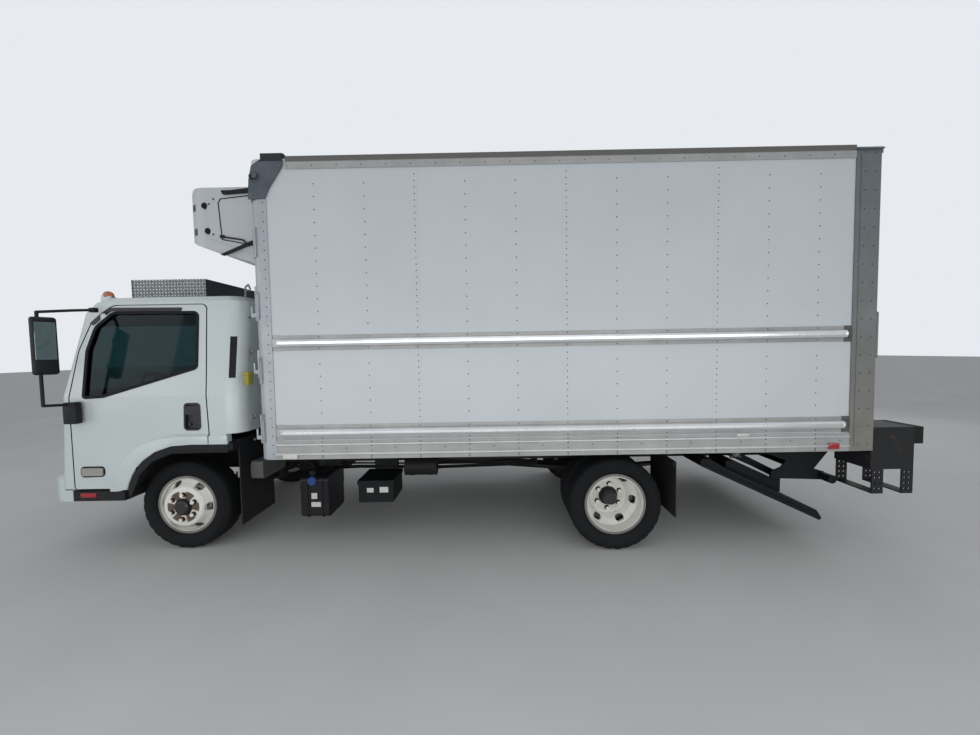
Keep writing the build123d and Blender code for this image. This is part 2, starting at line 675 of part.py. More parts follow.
SILL_DEPTH = CAB_WALL
HEAD_DEPTH = 130
HEAD_START = CAB_SECTIONS[1][0] - 10
DOOR_Y0 = -CAB_HALF_WIDTH - 100
DOOR_Y1 = -CAB_HALF_WIDTH + HEAD_DEPTH
HINGE_X = DOOR_OUTLINE[0][0] - HINGE_AHEAD
HINGE_Y = -CAB_HALF_WIDTH + HINGE_IN


def cab_wall():
    """The whole hollow cab before its panels are parted."""
    outer = cab_form(0)
    inner = cab_form(CAB_WALL)
    arch = side_prism(below(ARCH_LINE, CAB_FLOOR - 100), -BODY_SIDE, BODY_SIDE)
    arch_in = side_prism(below(raised(ARCH_LINE, CAB_WALL), CAB_FLOOR - 100), -BODY_SIDE, BODY_SIDE)
    tunnel = box(-1035, CAB_BACK + 10, -TUNNEL_HALF, TUNNEL_HALF,
                 CAB_FLOOR - 10, TUNNEL_TOP)
    tunnel = tunnel + box(-1300, -1034, -TUNNEL_HALF, TUNNEL_HALF,
                          CAB_FLOOR - 10, 700)
    tunnel_in = box(-1035 - CAB_WALL, CAB_BACK + 10, -TUNNEL_HALF - CAB_WALL,
                    TUNNEL_HALF + CAB_WALL, CAB_FLOOR - 10, TUNNEL_TOP + CAB_WALL)
    return (outer - arch - tunnel) - (inner - arch_in - tunnel_in)


WHOLE_CAB = cab_wall()


def glass_layer(cutter):
    """A pane that follows the cab's surface inside an opening."""
    return (cab_form(GLASS_INSET) - cab_form(GLASS_INSET + GLASS_THICK)) & cutter


def hinge_pocket(z):
    """Space for the eye and the gooseneck in the door post, open to the cab."""
    low = z - HINGE_LENGTH / 2 - 10
    high = z + HINGE_LENGTH / 2 + 10
    reach = HINGE_EYE + 2
    return joined([
        cylinder_z(HINGE_X, HINGE_Y, reach, low, high),
        box(HINGE_X, HINGE_X + HINGE_AHEAD, HINGE_Y - reach, HINGE_Y + 90, low, high),
        box(HINGE_X - reach, HINGE_X + 1, HINGE_Y, HINGE_Y + 90, low, high),
    ])


def hinge_pin(z):
    """Pin in a pocket of the door post, with the shelf that the door's eye sits on."""
    low = z - HINGE_LENGTH / 2 - 11
    high = z + HINGE_LENGTH / 2 + 11
    pin = cylinder_z(HINGE_X, HINGE_Y, HINGE_PIN, low, high)
    shelf = cylinder_z(HINGE_X, HINGE_Y, HINGE_EYE, low, z - HINGE_LENGTH / 2 - RUN_GAP)
    return joined([pin, shelf])


def hinge_eye(z):
    """Gooseneck arm of the door round the pin."""
    eye = cylinder_z(HINGE_X, HINGE_Y, HINGE_EYE, z - HINGE_LENGTH / 2, z + HINGE_LENGTH / 2)
    # gooseneck in plan, as (x, y) from the pin, ending on the inner face of the door
    neck = ((-10, 4), (9, 8), (18, 56), (76, 56), (76, 30), (105, 30), (105, 72), (4, 72), (-12, 20))
    arm = plan_prism([(HINGE_X + x, HINGE_Y + y) for x, y in neck],
                     z - HINGE_LENGTH / 2, z + HINGE_LENGTH / 2)
    bore = cylinder_z(HINGE_X, HINGE_Y, HINGE_PIN + 1.5, z - HINGE_LENGTH, z + HINGE_LENGTH)
    return joined([eye, arm]) - bore


def side_zone(amount, spare):
    """Room of the left door, upright to the belt and deeper over it, where the cab leans in."""
    low = side_cutter(DOOR_OUTLINE, DOOR_RADII, amount, DOOR_Y0, -CAB_HALF_WIDTH + SILL_DEPTH + spare)
    high = side_cutter(DOOR_OUTLINE, DOOR_RADII, amount, DOOR_Y0, DOOR_Y1 + spare)
    over_belt = box(-1200, CAB_BACK, DOOR_Y0 - 1, 0, HEAD_START, 2400)
    return low + (high & over_belt)


def cab_shell():
    """Roof, rear wall, posts and floor, with openings for doors, glass and front panel."""
    door_hole = side_zone(DOOR_GAP, 10)
    front_hole = front_prism(FRONT_PANEL, -1300, -900)
    screen = front_prism(WINDSCREEN, -1300, CAB_MIDDLE)
    rear_light = front_prism(REAR_WINDOW, CAB_BACK - 200, CAB_BACK + 20)
    shell = WHOLE_CAB - door_hole - mirrored(door_hole) - front_hole - screen - rear_light
    vent = vent_slot()
    shell = shell - vent - mirrored(vent)
    for z in HINGE_HEIGHTS:
        pocket = hinge_pocket(z)
        shell = shell - pocket - mirrored(pocket)
        pin = hinge_pin(z)
        shell = shell + pin + mirrored(pin)
    return shell


def vent_slot():
    """Upright air outlet in the left rear corner of the cab."""
    x = CAB_BACK - 78
    return (cab_form(-2) - cab_form(14)) & box(x - 22, x + 26, -CAB_HALF_WIDTH - 5, -880, 1545, 1905)


def cab_trim():
    """Black louvred outlets in the rear corners."""
    insert = (cab_form(3) - cab_form(14)) & vent_slot()
    for number in range(9):
        z = 1570 + number * 37
        x = CAB_BACK - 78
        slat_gap = (cab_form(2) - cab_form(9)) & box(x - 14, x + 18, -CAB_HALF_WIDTH - 5, -880, z, z + 16)
        insert = insert - slat_gap
    return both_sides(insert)


def cab_glass():
    """Windscreen and rear window."""
    screen = glass_layer(front_prism(WINDSCREEN, -1300, CAB_MIDDLE))
    rear_light = glass_layer(front_prism(REAR_WINDOW, CAB_BACK - 200,
                                         CAB_BACK + 20))
    return joined([screen, rear_light])


def front_panel():
    """Panel under the windscreen, with the opening for the grille."""
    panel = WHOLE_CAB & front_prism(FRONT_PANEL, -1300, -1000)
    return panel - front_prism(GRILLE_OPENING, -1300, -900)


def grille():
    """Slatted panel in the opening under the windscreen."""
    panel = (cab_form(16) - cab_form(34)) & front_prism(GRILLE_OPENING, -1300, -900)
    low, high = GRILLE_OPENING[0][1], GRILLE_OPENING[2][1]
    pitch = (high - low) / GRILLE_SLATS
    bars = cab_form(4) - cab_form(17)
    slats = [bars & box(-1300, -900, -GRILLE_OPENING[1][0], GRILLE_OPENING[1][0],
                        low + (number + 0.25) * pitch, low + (number + 0.75) * pitch)
             for number in range(GRILLE_SLATS)]
    return joined([panel] + slats)


# recess of the door's handle, and the door's side lamp, with one radius for every corner
HANDLE_OUTLINE = (
    (111, 1104),
    (251, 1104),
    (253, 1334),
    (121, 1334),
)
HANDLE_RADIUS = 30
HANDLE_DEPTH = 24
LAMP_OUTLINE = (
    (-814, 700),
    (-600, 706),
    (-597, 799),
    (-812, 799),
)
LAMP_RADIUS = 34


def flare(x0, x1, lift):
    """Left wheel-arch band between two stations, proud of the cab's side with a stepped bevel."""
    pieces = []
    # layers: how far inside the arch line, outer face, inner face
    for inside, outer, inner in ((0, 4, FLARE_DEPTH), (8, 10, 40), (16, FLARE_PROUD, 40)):
        top = [(x + inside * 0.6, z - inside * 0.8) for x, z in ARCH_LINE[:-1]]
        top.append((FLARE_END + 60, ARCH_LINE[-1][1] - inside))
        under = list(FLARE_LINE[:-1]) + [(FLARE_END + 60, FLARE_LINE[-1][1])]
        pieces.append(side_prism(top + list(reversed(under)), -CAB_HALF_WIDTH - outer,
                                 -CAB_HALF_WIDTH + inner))
    if lift:
        top = [(x - lift * 0.6, z + lift * 0.8) for x, z in ARCH_LINE[1:-1]]
        under = [(x, z - 5) for x, z in ARCH_LINE[1:-1]]
        pieces.append(side_prism(top + list(reversed(under)), -CAB_HALF_WIDTH + 24, -CAB_HALF_WIDTH + 50))
    return joined(pieces) & box(x0, x1, -CAB_HALF_WIDTH - 50, -CAB_HALF_WIDTH + 100, CAB_FLOOR - 20, 1200)


def cab_door():
    """Left-hand door: full thickness, with its flare and its hinge arms."""
    leaf = WHOLE_CAB & side_zone(0, 0)
    door = leaf - side_cutter(WINDOW_OUTLINE, WINDOW_RADII, 0, DOOR_Y0, DOOR_Y1 + 60)
    door = door + flare(DOOR_OUTLINE[0][0], DOOR_OUTLINE[5][0] - 2, 16)
    handle = side_cutter(HANDLE_OUTLINE, HANDLE_RADIUS, 0, DOOR_Y0, -CAB_HALF_WIDTH + HANDLE_DEPTH)
    lamp = side_cutter(LAMP_OUTLINE, LAMP_RADIUS, 0, DOOR_Y0, -CAB_HALF_WIDTH + 10)
    door = door - handle - lamp
    for z in HINGE_HEIGHTS:
        door = door + hinge_eye(z)
    return door


def door_trim():
    """Handle in its recess, side lamp, rain visor over the window and foot of the mirror."""
    low = -CAB_HALF_WIDTH + HANDLE_DEPTH
    cup = side_cutter(HANDLE_OUTLINE, HANDLE_RADIUS, -0.5, low - 5, low)
    rim = side_cutter(HANDLE_OUTLINE, HANDLE_RADIUS, 5, -CAB_HALF_WIDTH - 4, -CAB_HALF_WIDTH)
    rim = rim + side_cutter(HANDLE_OUTLINE, HANDLE_RADIUS, -0.5, -CAB_HALF_WIDTH - 3, low)
    rim = rim - side_cutter(HANDLE_OUTLINE, HANDLE_RADIUS, -9, -CAB_HALF_WIDTH - 5, low + 1)
    grip = box(124, 246, -CAB_HALF_WIDTH - 4, -CAB_HALF_WIDTH + 10, 1238, 1312)
    lock = cylinder_y(150, 1150, 13, -CAB_HALF_WIDTH + 6, low)
    lamp = side_cutter(LAMP_OUTLINE, LAMP_RADIUS, -0.5, -CAB_HALF_WIDTH - 2, -CAB_HALF_WIDTH + 10)
    lens = side_cutter(LAMP_OUTLINE, LAMP_RADIUS, -12, -CAB_HALF_WIDTH - 9, -CAB_HALF_WIDTH)
    visor = side_cutter([(-706, 2020), (-556, 2142), (60, 2136),
                         (60, 2166), (-566, 2174), (-728, 2040)],
                        8, 0, DOOR_Y0, DOOR_Y1)
    visor = visor & (cab_form(-9) - cab_form(0))
    visor = visor - box(-650, -596, DOOR_Y0, DOOR_Y1, 2068, 2125)
    return joined([cup + rim + grip + lock, lamp + lens, visor])


def door_glass():
    """Flat pane that leans with the side of the cab."""
    belt, head = CAB_SECTIONS[1], CAB_SECTIONS[2]
    lean = math.degrees(math.atan2(belt[3] - head[3], head[0] - belt[0]))
    y = -belt[3] + GLASS_INSET + GLASS_THICK / 2
    slab = Pos(-270, y, belt[0]) * Rot(-lean, 0, 0) * Box(1400, GLASS_THICK, 2400)
    return slab & side_cutter(WINDOW_OUTLINE, WINDOW_RADII, 0, DOOR_Y0, DOOR_Y1)


def mirror_left():
    """Two mirror heads on an arm from the top and the bottom of the window frame."""
    y = -CAB_HALF_WIDTH - 215
    x = -815
    head = box(x - 55, x + 55, y - 110, y + 110, 1400, 2040)
    post = cylinder_z(x - 20, y, 14, 1340, 2110)
    link = -CAB_HALF_WIDTH + 42
    top_arm = box(x - 34, x - 6, y - 14, link, 2085, 2110)
    top_link = box(x - 34, -606, link - 14, link, 2085, 2110)
    top_foot = box(-640, -606, link - 14, link + 60, 2085, 2110)
    low_arm = box(x - 34, x - 6, y - 14, -CAB_HALF_WIDTH - 28, 1340, 1366)
    low_foot = box(-850, -740, -CAB_HALF_WIDTH - 30, -CAB_HALF_WIDTH + 10,
                   1180, 1366)
    return joined([head, post, top_arm, top_link, top_foot, low_arm, low_foot]) - cab_form(0)


def fender_flares():
    """Rear end of the band over each front wheel, under the post behind the door."""
    return both_sides(flare(DOOR_OUTLINE[5][0] + DOOR_GAP, FLARE_END, 0))


def arch_liners():
    """Black lining inside each wheel arch, and the step under the door."""
    line = [(x, z) for x, z in FLARE_LINE]
    upper = [(x - 9, z + 9) for x, z in FLARE_LINE]
    inner = -CAB_HALF_WIDTH + FLARE_DEPTH + 7
    liner = side_prism(line + list(reversed(upper)), inner, -RAIL_Y - 60)
    edge = [(x + 5, z - 6) for x, z in FLARE_LINE]
    lip = side_prism(list(LIP_LINE) + list(reversed(edge)), -CAB_HALF_WIDTH - 4, inner + 12)
    web = [(x + 12, z - 14) for x, z in FLARE_LINE]
    lip = lip + side_prism(web + list(reversed(line)), inner, inner + 12)
    hang = box(FLARE_LINE[-1][0] - 1, FLARE_LINE[-1][0] + 9, inner, -RAIL_Y - 60, 230,
               FLARE_LINE[-1][1] + 9)
    stay = box(FLARE_LINE[-1][0] - 1, FLARE_LINE[-1][0] + 9, -RAIL_Y - 61, -RAIL_Y, 660, 800)
    step = box(-900, -452, -CAB_HALF_WIDTH + 8, -CAB_HALF_WIDTH + 330,
               490, CAB_FLOOR - 24)
    riser = box(-890, -600, -CAB_HALF_WIDTH + CAB_WALL + 12,
                -CAB_HALF_WIDTH + 310, CAB_FLOOR - 25, CAB_FLOOR)
    return both_sides(joined([liner, lip, hang, stay, step, riser]))


def bumper():
    """Steel bumper, wrapped round the corners to the step."""
    notch = box(-965, -800, -BODY_SIDE, BODY_SIDE, CAB_FLOOR - 12, 700)
    outer = plan_prism([
        (-1204, -560), (-1204, 560), (-1165, 820),
        (-1090, 980), (-1010, CAB_HALF_WIDTH - 4),
        (-900, CAB_HALF_WIDTH - 4), (-900, CAB_HALF_WIDTH - 50),
        (-985, CAB_HALF_WIDTH - 54), (-1040, 950), (-1100, 800),
        (-1150, 545), (-1150, -545), (-1100, -800),
        (-1040, -950), (-985, -CAB_HALF_WIDTH + 54),
        (-900, -CAB_HALF_WIDTH + 50), (-900, -CAB_HALF_WIDTH + 4),
        (-1010, -CAB_HALF_WIDTH + 4), (-1090, -980), (-1165, -820),
    ], 490, 690)
    brackets = both_sides(box(-1151, CAB_RAIL_FRONT, RAIL_Y - RAIL_FLANGE, RAIL_Y, 640, 689))
    return joined([outer - notch - cab_form(0), brackets])


def lamps():
    """Headlamps in the front corners and two marker lamps on the roof's front edge."""
    zone = front_prism(HEADLAMP_OUTLINE, -1300, -900)
    right = (cab_form(-14) - cab_form(0)) & zone
    marker = side_prism([(-945, 2288), (-838, 2300), (-832, 2362), (-925, 2352)], 640, 760)
    marker = joined([marker, box(-905, -780, 668, 732, 2235, 2312)]) - cab_form(0)
    return both_sides(joined([right, marker]))


def dashboard():
    """Dash across the cab with the steering column."""
    top = 1400
    desk = box(-1200, -640, -880, 880, 1080, top) & cab_form(CAB_WALL)
    console = box(-660, -400, -160, 160, TUNNEL_TOP + CAB_WALL, 1150)
    column = Plane(origin=(-740, -430, 1200), z_dir=(0.62, 0, 0.78)) * Pos(0, 0, 130) * \
        Cylinder(32, 330)
    return joined([desk, console, column])


def steering_wheel():
    place = Plane(origin=(-740, -430, 1200), z_dir=(0.62, 0, 0.78))
    section = Plane.XZ * Pos(205, 0) * RegularPolygon(16, 8, rotation=22.5)
    ring = place * Pos(0, 0, 305) * revolve(section, Axis.Z)
    hub = place * Pos(0, 0, 305) * Cylinder(45, 20)
    spokes = place * Pos(0, 0, 305) * Box(400, 40, 14)
    return joined([ring, hub, spokes])


def seats():
    """Driver's seat and a bench beside it on the floor over the wheels."""
    floor = 1066 + CAB_WALL
    pieces = []
    # seats: middle y, width
    for y, width in ((-560, 500), (420, 860)):
        base = box(20, 400, y - width / 2, y + width / 2, floor, floor + 190)
        back = side_prism([
            (300, floor + 120), (440, floor + 120),
            (500, floor + 760), (400, floor + 760),
        ], y - width / 2, y + width / 2)
        pieces.append(joined([base, back]))
    return joined(pieces)


def roof_box():
    """Chequer-plate box on the cab's roof."""
    return box(-690, 20, -600, 600, CAB_SECTIONS[-1][0], 2480)


# Insulated body
INNER_SIDE = BODY_SIDE - WALL
SIDE_FRONT = BODY_FRONT + CORNER_RADIUS
REAR_FRAME_FRONT = BODY_REAR - REAR_FRAME_DEPTH
ROOF_LOW = BODY_TOP - ROOF_THICK
FLOOR_LOW = FLOOR_TOP - FLOOR_THICK


def load_floor():
    """Insulated floor on cross beams and two long sills."""
    slab = box(BODY_FRONT + CORNER_RADIUS, REAR_FRAME_FRONT, -INNER_SIDE, INNER_SIDE, FLOOR_LOW, FLOOR_TOP)
    sills = both_sides(box(BODY_FRONT + CORNER_RADIUS, REAR_FRAME_FRONT, RAIL_Y - SILL_WIDTH, RAIL_Y,
                           RAIL_TOP, FLOOR_LOW + 1))
    pitch = (REAR_FRAME_FRONT - SIDE_FRONT - 200) / (BEAM_COUNT - 1)
    beams = []
    for number in range(BEAM_COUNT):
        x = SIDE_FRONT + 100 + number * pitch
        beams.append(box(x - BEAM_WIDTH / 2, x + BEAM_WIDTH / 2, -INNER_SIDE, INNER_SIDE,
                         FLOOR_LOW - 75, FLOOR_LOW + 1))
    return joined([slab, sills] + beams)


def front_wall():
    """Front bulkhead between the corner posts."""
    half = BODY_SIDE - CORNER_RADIUS
    return box(BODY_FRONT, BODY_FRONT + CORNER_RADIUS, -half, half, BODY_BOTTOM, ROOF_LOW)


def side_walls():
    """Left and right insulated walls."""
    wall = box(SIDE_FRONT, REAR_FRAME_FRONT, INNER_SIDE, BODY_SIDE, BODY_BOTTOM + 20, ROOF_LOW)
    return both_sides(wall)


def roof_panel():
    """Insulated roof, a little crowned."""
    low = ROOF_LOW
    half = BODY_SIDE - RAIL_SKIN
    edge = BODY_FRONT + RAIL_SKIN
    turn = CORNER_RADIUS - RAIL_SKIN
    outline = [(-half, low), (half, low), (half, BODY_TOP - 14), (half * 0.5, BODY_TOP - 2),
               (-half * 0.5, BODY_TOP - 2), (-half, BODY_TOP - 14)]
    plan = make_face(FilletPolyline((BODY_REAR - 14, -half), (edge, -half), (edge, half),
                                    (BODY_REAR - 14, half), radius=[0, turn, turn, 0], close=True))
    roof = front_prism(outline, edge, BODY_REAR - 14) & extrude(Pos(0, 0, low) * plan, ROOF_THICK)
    bevel = side_prism([(edge - 1, BODY_TOP - ROOF_BEVEL), (edge + ROOF_BEVEL, BODY_TOP + 1),
                        (edge - 1, BODY_TOP + 1)], -BODY_SIDE, BODY_SIDE)
    return roof - bevel


# height ranges of the cover plates on each post, and of the steel hooks beside them
POST_COVERS = ((1006, 1196), (1497, 1683), (2035, 2241), (2534, 2770))
POST_HOOKS = ((991, 1234), (1550, 1780), (2025, 2309))
POST_TOP = 2990


def corner_posts():
    """Round aluminium posts at the front corners, with a joint strip, cover plates and hooks."""
    quarter = box(BODY_FRONT, SIDE_FRONT, BODY_SIDE - CORNER_RADIUS, BODY_SIDE, BODY_BOTTOM, ROOF_LOW)
    round_off = cylinder_z(SIDE_FRONT, BODY_SIDE - CORNER_RADIUS, CORNER_RADIUS, BODY_BOTTOM - 1,
                           ROOF_LOW + 1)
    pieces = [quarter & round_off]
    pieces.append(box(SIDE_FRONT, SIDE_FRONT + POST_STRIP, BODY_SIDE, BODY_SIDE + RAIL_SKIN,
                      BODY_BOTTOM, POST_TOP))
    pieces.append(box(SIDE_FRONT - 20, SIDE_FRONT, BODY_SIDE - 5, BODY_SIDE + RAIL_SKIN, BODY_BOTTOM,
                      POST_TOP))
    skin = cylinder_z(SIDE_FRONT, BODY_SIDE - CORNER_RADIUS, CORNER_RADIUS + 7, BODY_BOTTOM, BODY_TOP)
    skin = skin - cylinder_z(SIDE_FRONT, BODY_SIDE - CORNER_RADIUS, CORNER_RADIUS - 2, BODY_BOTTOM,
                             BODY_TOP)
    for low, high in POST_COVERS:
        pieces.append(skin & box(SIDE_FRONT - 88, SIDE_FRONT - 42, BODY_SIDE - CORNER_RADIUS, BODY_SIDE,
                                 low, high))
    for low, high in POST_HOOKS:
        y = BODY_SIDE - CORNER_RADIUS
        x = BODY_FRONT
        pieces.append(box(x - 12, x + 30, y + 1, y + 34, low, high))
        pieces.append(box(x - 56, x - 11, y + 10, y + 22, low + 30, low + 62))
        pieces.append(box(x - 56, x - 44, y + 10, y + 22, low + 30, low + 120))
    return both_sides(joined(pieces))


# casting at each front top corner, as (x from the body's front, z)
CASTING = ((56, 3254), (30, 3144), (20, 2992), (153, 2993), (189, 3070), (298, 3234), (310, 3290), (125, 3297))
RUB_END = 66


def corner_castings():
    """Cast plate with a lamp at each front top corner, its cap, and the end blocks of the rub rails."""
    plate = side_prism([(BODY_FRONT + x, z) for x, z in CASTING], BODY_SIDE + RAIL_SKIN,
                       BODY_SIDE + RAIL_SKIN + 7)
    heel = side_prism([(BODY_FRONT + x, z) for x, z in ((20, 2992), (100, 2992), (100, 3230), (66, 3240),
                                                        (30, 3144))], BODY_SIDE, BODY_SIDE + RAIL_SKIN + 1)
    ring = cylinder_z(SIDE_FRONT, BODY_SIDE - CORNER_RADIUS, CORNER_RADIUS + 7, 2992, ROOF_LOW)
    ring = ring - cylinder_z(SIDE_FRONT, BODY_SIDE - CORNER_RADIUS, CORNER_RADIUS, 2990, BODY_TOP)
    ring = ring & box(BODY_FRONT - 20, SIDE_FRONT, BODY_SIDE - CORNER_RADIUS, BODY_SIDE + 10, 2992, ROOF_LOW)
    lamp = cylinder_y(BODY_FRONT + 84, 3172, 26, BODY_SIDE + RAIL_SKIN, BODY_SIDE + RAIL_SKIN + 26)
    cap = side_prism([(BODY_FRONT + 118, BODY_TOP), (BODY_FRONT + 150, BODY_TOP + 26),
                      (BODY_FRONT + 310, BODY_TOP + 26), (BODY_FRONT + 310, BODY_TOP)],
                     BODY_SIDE - 60, BODY_SIDE - 2)
    fixing = box(BODY_FRONT + 128, BODY_FRONT + 300, BODY_SIDE, BODY_SIDE + RAIL_SKIN + 2,
                 BODY_TOP - 46, BODY_TOP + 24)
    fixing = fixing + box(BODY_FRONT + 128, BODY_FRONT + 300, BODY_SIDE - 10, BODY_SIDE + RAIL_SKIN + 2,
                          BODY_TOP, BODY_TOP + 24)
    return both_sides(joined([plate, heel, ring, lamp, cap, fixing]))


def rail_profile(centre, height, proud):
    """Section of a rub rail as (y, z): flanges with a round nose between them."""
    half = height / 2
    return [
        (BODY_SIDE, centre - half), (BODY_SIDE + RAIL_SKIN, centre - half),
        (BODY_SIDE + RAIL_SKIN, centre - half * 0.52), (BODY_SIDE + proud * 0.8, centre - half * 0.42),
        (BODY_SIDE + proud, centre - half * 0.15), (BODY_SIDE + proud, centre + half * 0.15),
        (BODY_SIDE + proud * 0.8, centre + half * 0.42), (BODY_SIDE + RAIL_SKIN, centre + half * 0.52),
        (BODY_SIDE + RAIL_SKIN, centre + half), (BODY_SIDE, centre + half),
    ]


def body_rails():
    """Top rails, two rub rails with solid ends, and the ribbed bottom rail of each side."""
    start = SIDE_FRONT + POST_STRIP + 2
    pieces = []
    for centre in (LOWER_RUB_CENTRE, UPPER_RUB_CENTRE):
        pieces.append(front_prism(rail_profile(centre, RUB_RAIL_HEIGHT, RUB_RAIL_PROUD), start + RUB_END,
                                  REAR_FRAME_FRONT - RUB_END))
        for x in (start, REAR_FRAME_FRONT - RUB_END):
            block = front_prism(rail_profile(centre, RUB_RAIL_HEIGHT + 6, RUB_RAIL_PROUD + 9), x, x + RUB_END)
            ramp = (start, start + RUB_END) if x == start else (REAR_FRAME_FRONT, REAR_FRAME_FRONT - RUB_END)
            slope = plan_prism([(ramp[0], BODY_SIDE + 12), (ramp[1], BODY_SIDE + RUB_RAIL_PROUD + 12),
                                (ramp[0], BODY_SIDE + RUB_RAIL_PROUD + 12)], centre - 80, centre + 80)
            pieces.append(block - slope)
    low = BODY_BOTTOM
    top = BODY_BOTTOM + BOTTOM_RAIL
    out = BODY_SIDE + RAIL_SKIN + 2
    # bottom rail in section as (y, z), with two long ribs
    rail = [(BODY_SIDE, low), (out, low), (out, low + 34), (out + 9, low + 40), (out + 9, low + 50),
            (out, low + 56), (out, top - 40), (out + 9, top - 34), (out + 9, top - 24), (out, top - 18),
            (out, top), (BODY_SIDE, top)]
    pieces.append(front_prism(rail, start, REAR_FRAME_FRONT))
    pieces.append(box(BODY_FRONT + TOP_RAIL_START, REAR_FRAME_FRONT, BODY_SIDE, BODY_SIDE + RAIL_SKIN,
                      BODY_TOP - TOP_RAIL, BODY_TOP))
    pieces.append(box(BODY_FRONT + TOP_RAIL_START, REAR_FRAME_FRONT, BODY_SIDE - RAIL_SKIN, BODY_SIDE + 1,
                      ROOF_LOW, BODY_TOP))
    return both_sides(joined(pieces))


def rear_frame():
    """Rear portal: two posts, header and sill round the door."""
    top = BODY_TOP - 16
    outer = box(REAR_FRAME_FRONT, BODY_REAR, -BODY_SIDE - 4, BODY_SIDE + 4, BODY_BOTTOM, ROOF_LOW)
    opening = box(REAR_FRAME_FRONT - 1, BODY_REAR + 1, -BODY_SIDE + REAR_POST, BODY_SIDE - REAR_POST,
                  FLOOR_TOP, top - REAR_HEADER)
    cap = both_sides(box(REAR_FRAME_FRONT, BODY_REAR, BODY_SIDE - RAIL_SKIN, BODY_SIDE + 4,
                         ROOF_LOW - 1, top))
    lip = box(BODY_REAR - 14, BODY_REAR + 12, -BODY_SIDE - 4, BODY_SIDE + 4, BODY_TOP - 64, top)
    back = box(BODY_REAR - 14, BODY_REAR, -BODY_SIDE, BODY_SIDE, ROOF_LOW - 1, top)
    fold = both_sides(joined([
        box(REAR_FRAME_FRONT, BODY_REAR - 95, BODY_SIDE + 3, BODY_SIDE + 8, BODY_BOTTOM, top - 40),
        box(REAR_FRAME_FRONT + 36, REAR_FRAME_FRONT + 44, BODY_SIDE + 7, BODY_SIDE + 12, BODY_BOTTOM + 40,
            top - 60),
    ]))
    drip = both_sides(box(REAR_FRAME_FRONT, BODY_REAR + 6, BODY_SIDE + 3, BODY_SIDE + 22,
                          top - 22, top - 12))
    return joined([outer - opening, cap, back, lip, fold, drip])


def roll_up_door():
    """Closed sectional door: insulated panels with a groove at each hinge line."""
    half = BODY_SIDE - REAR_POST
    low = FLOOR_TOP
    high = BODY_TOP - 16 - REAR_HEADER
    back = BODY_REAR - DOOR_RECESS
    curtain = box(back - DOOR_THICK, back, -half, half, low, high)
    pitch = (high - low) / DOOR_PANELS
    for number in range(1, DOOR_PANELS):
        z = low + number * pitch
        curtain = curtain - box(back - 10, back + 1, -half - 1, half + 1, z - PANEL_GROOVE / 2,
                                z + PANEL_GROOVE / 2)
    handle = box(back, back + 26, -90, 90, low + 120, low + 200)
    return curtain + handle


# side outline of the unit as (x from the body's front, z), and the radius of each corner
UNIT_OUTLINE = ((0, 2500), (-109, 2542), (-560, 2690), (-UNIT_DEPTH, 2760), (-UNIT_DEPTH, 3075), (-590, UNIT_TOP),
                (0, UNIT_TOP))
UNIT_RADII = (0, 40, 70, 60, 70, 90, 0)
UNIT_PANEL = ((-10, 2590), (-430, 2745), (-455, 3050), (-400, 3092), (-10, 3118))


def unit_form(take_in):
    """The unit's rounded form, taken in at its sides."""
    front = BODY_FRONT - UNIT_DEPTH
    half = UNIT_HALF - take_in
    plane = Plane((0, half, 0), x_dir=(1, 0, 0), z_dir=(0, -1, 0))
    line = FilletPolyline(*[(BODY_FRONT + x, z) for x, z in UNIT_OUTLINE], radius=UNIT_RADII, close=True)
    form = extrude(plane * make_face(line), 2 * half)
    plan = make_face(FilletPolyline((BODY_FRONT, -half), (front - 1, -half), (front - 1, half),
                                    (BODY_FRONT, half), radius=[0, UNIT_CORNER, UNIT_CORNER, 0],
                                    close=True))
    return form & extrude(Pos(0, 0, 2400) * plan, 900)


def refrigeration_unit():
    """Nose-mounted unit, rounded from the side and in plan, with a raised access panel each side."""
    panel = side_prism([(BODY_FRONT + x, z) for x, z in UNIT_PANEL], UNIT_HALF - 1, UNIT_HALF + 9)
    unit = unit_form(0) + both_sides(panel)
    # slots in the front corners: x from the body's front and middle height
    for x, z in ((-592, 3012), (-582, 2807)):
        hole = side_prism([(BODY_FRONT + x - 26, z - 30), (BODY_FRONT + x + 26, z - 30),
                           (BODY_FRONT + x + 26, z + 30), (BODY_FRONT + x - 26, z + 30)],
                          UNIT_HALF - 150, UNIT_HALF + 5)
        unit = unit - both_sides(hole)
    return unit


def unit_grille():
    """Intake grille on the front of the unit, top bars and latch arms on its sides."""
    front = BODY_FRONT - UNIT_DEPTH
    pieces = [both_sides(box(front - 12, front, 640, 660, 2800, 3044))]
    for number in range(8):
        z = 2810 + number * 30
        pieces.append(box(front - 12, front, -640, 640, z, z + 14))
    bar = side_prism([(BODY_FRONT + x, z) for x, z in ((-300, 3104), (-8, 3118), (-8, 3158), (-300, 3128))],
                     UNIT_HALF + 9, UNIT_HALF + 26)
    arm = side_prism([(BODY_FRONT + x, z) for x, z in ((-340, 2600), (-318, 2590), (-8, 2706), (-8, 2734))],
                     UNIT_HALF + 9, UNIT_HALF + 30)
    pieces.append(both_sides(joined([bar, arm])))
    return joined(pieces)


# Rear of the truck
STEP_OUT = BODY_SIDE - 10
STEP_IN = BODY_SIDE - 330
STEP_BACK = BODY_REAR + STEP_LENGTH
STEP_PLATE = 10
LEG_HOLES = 4


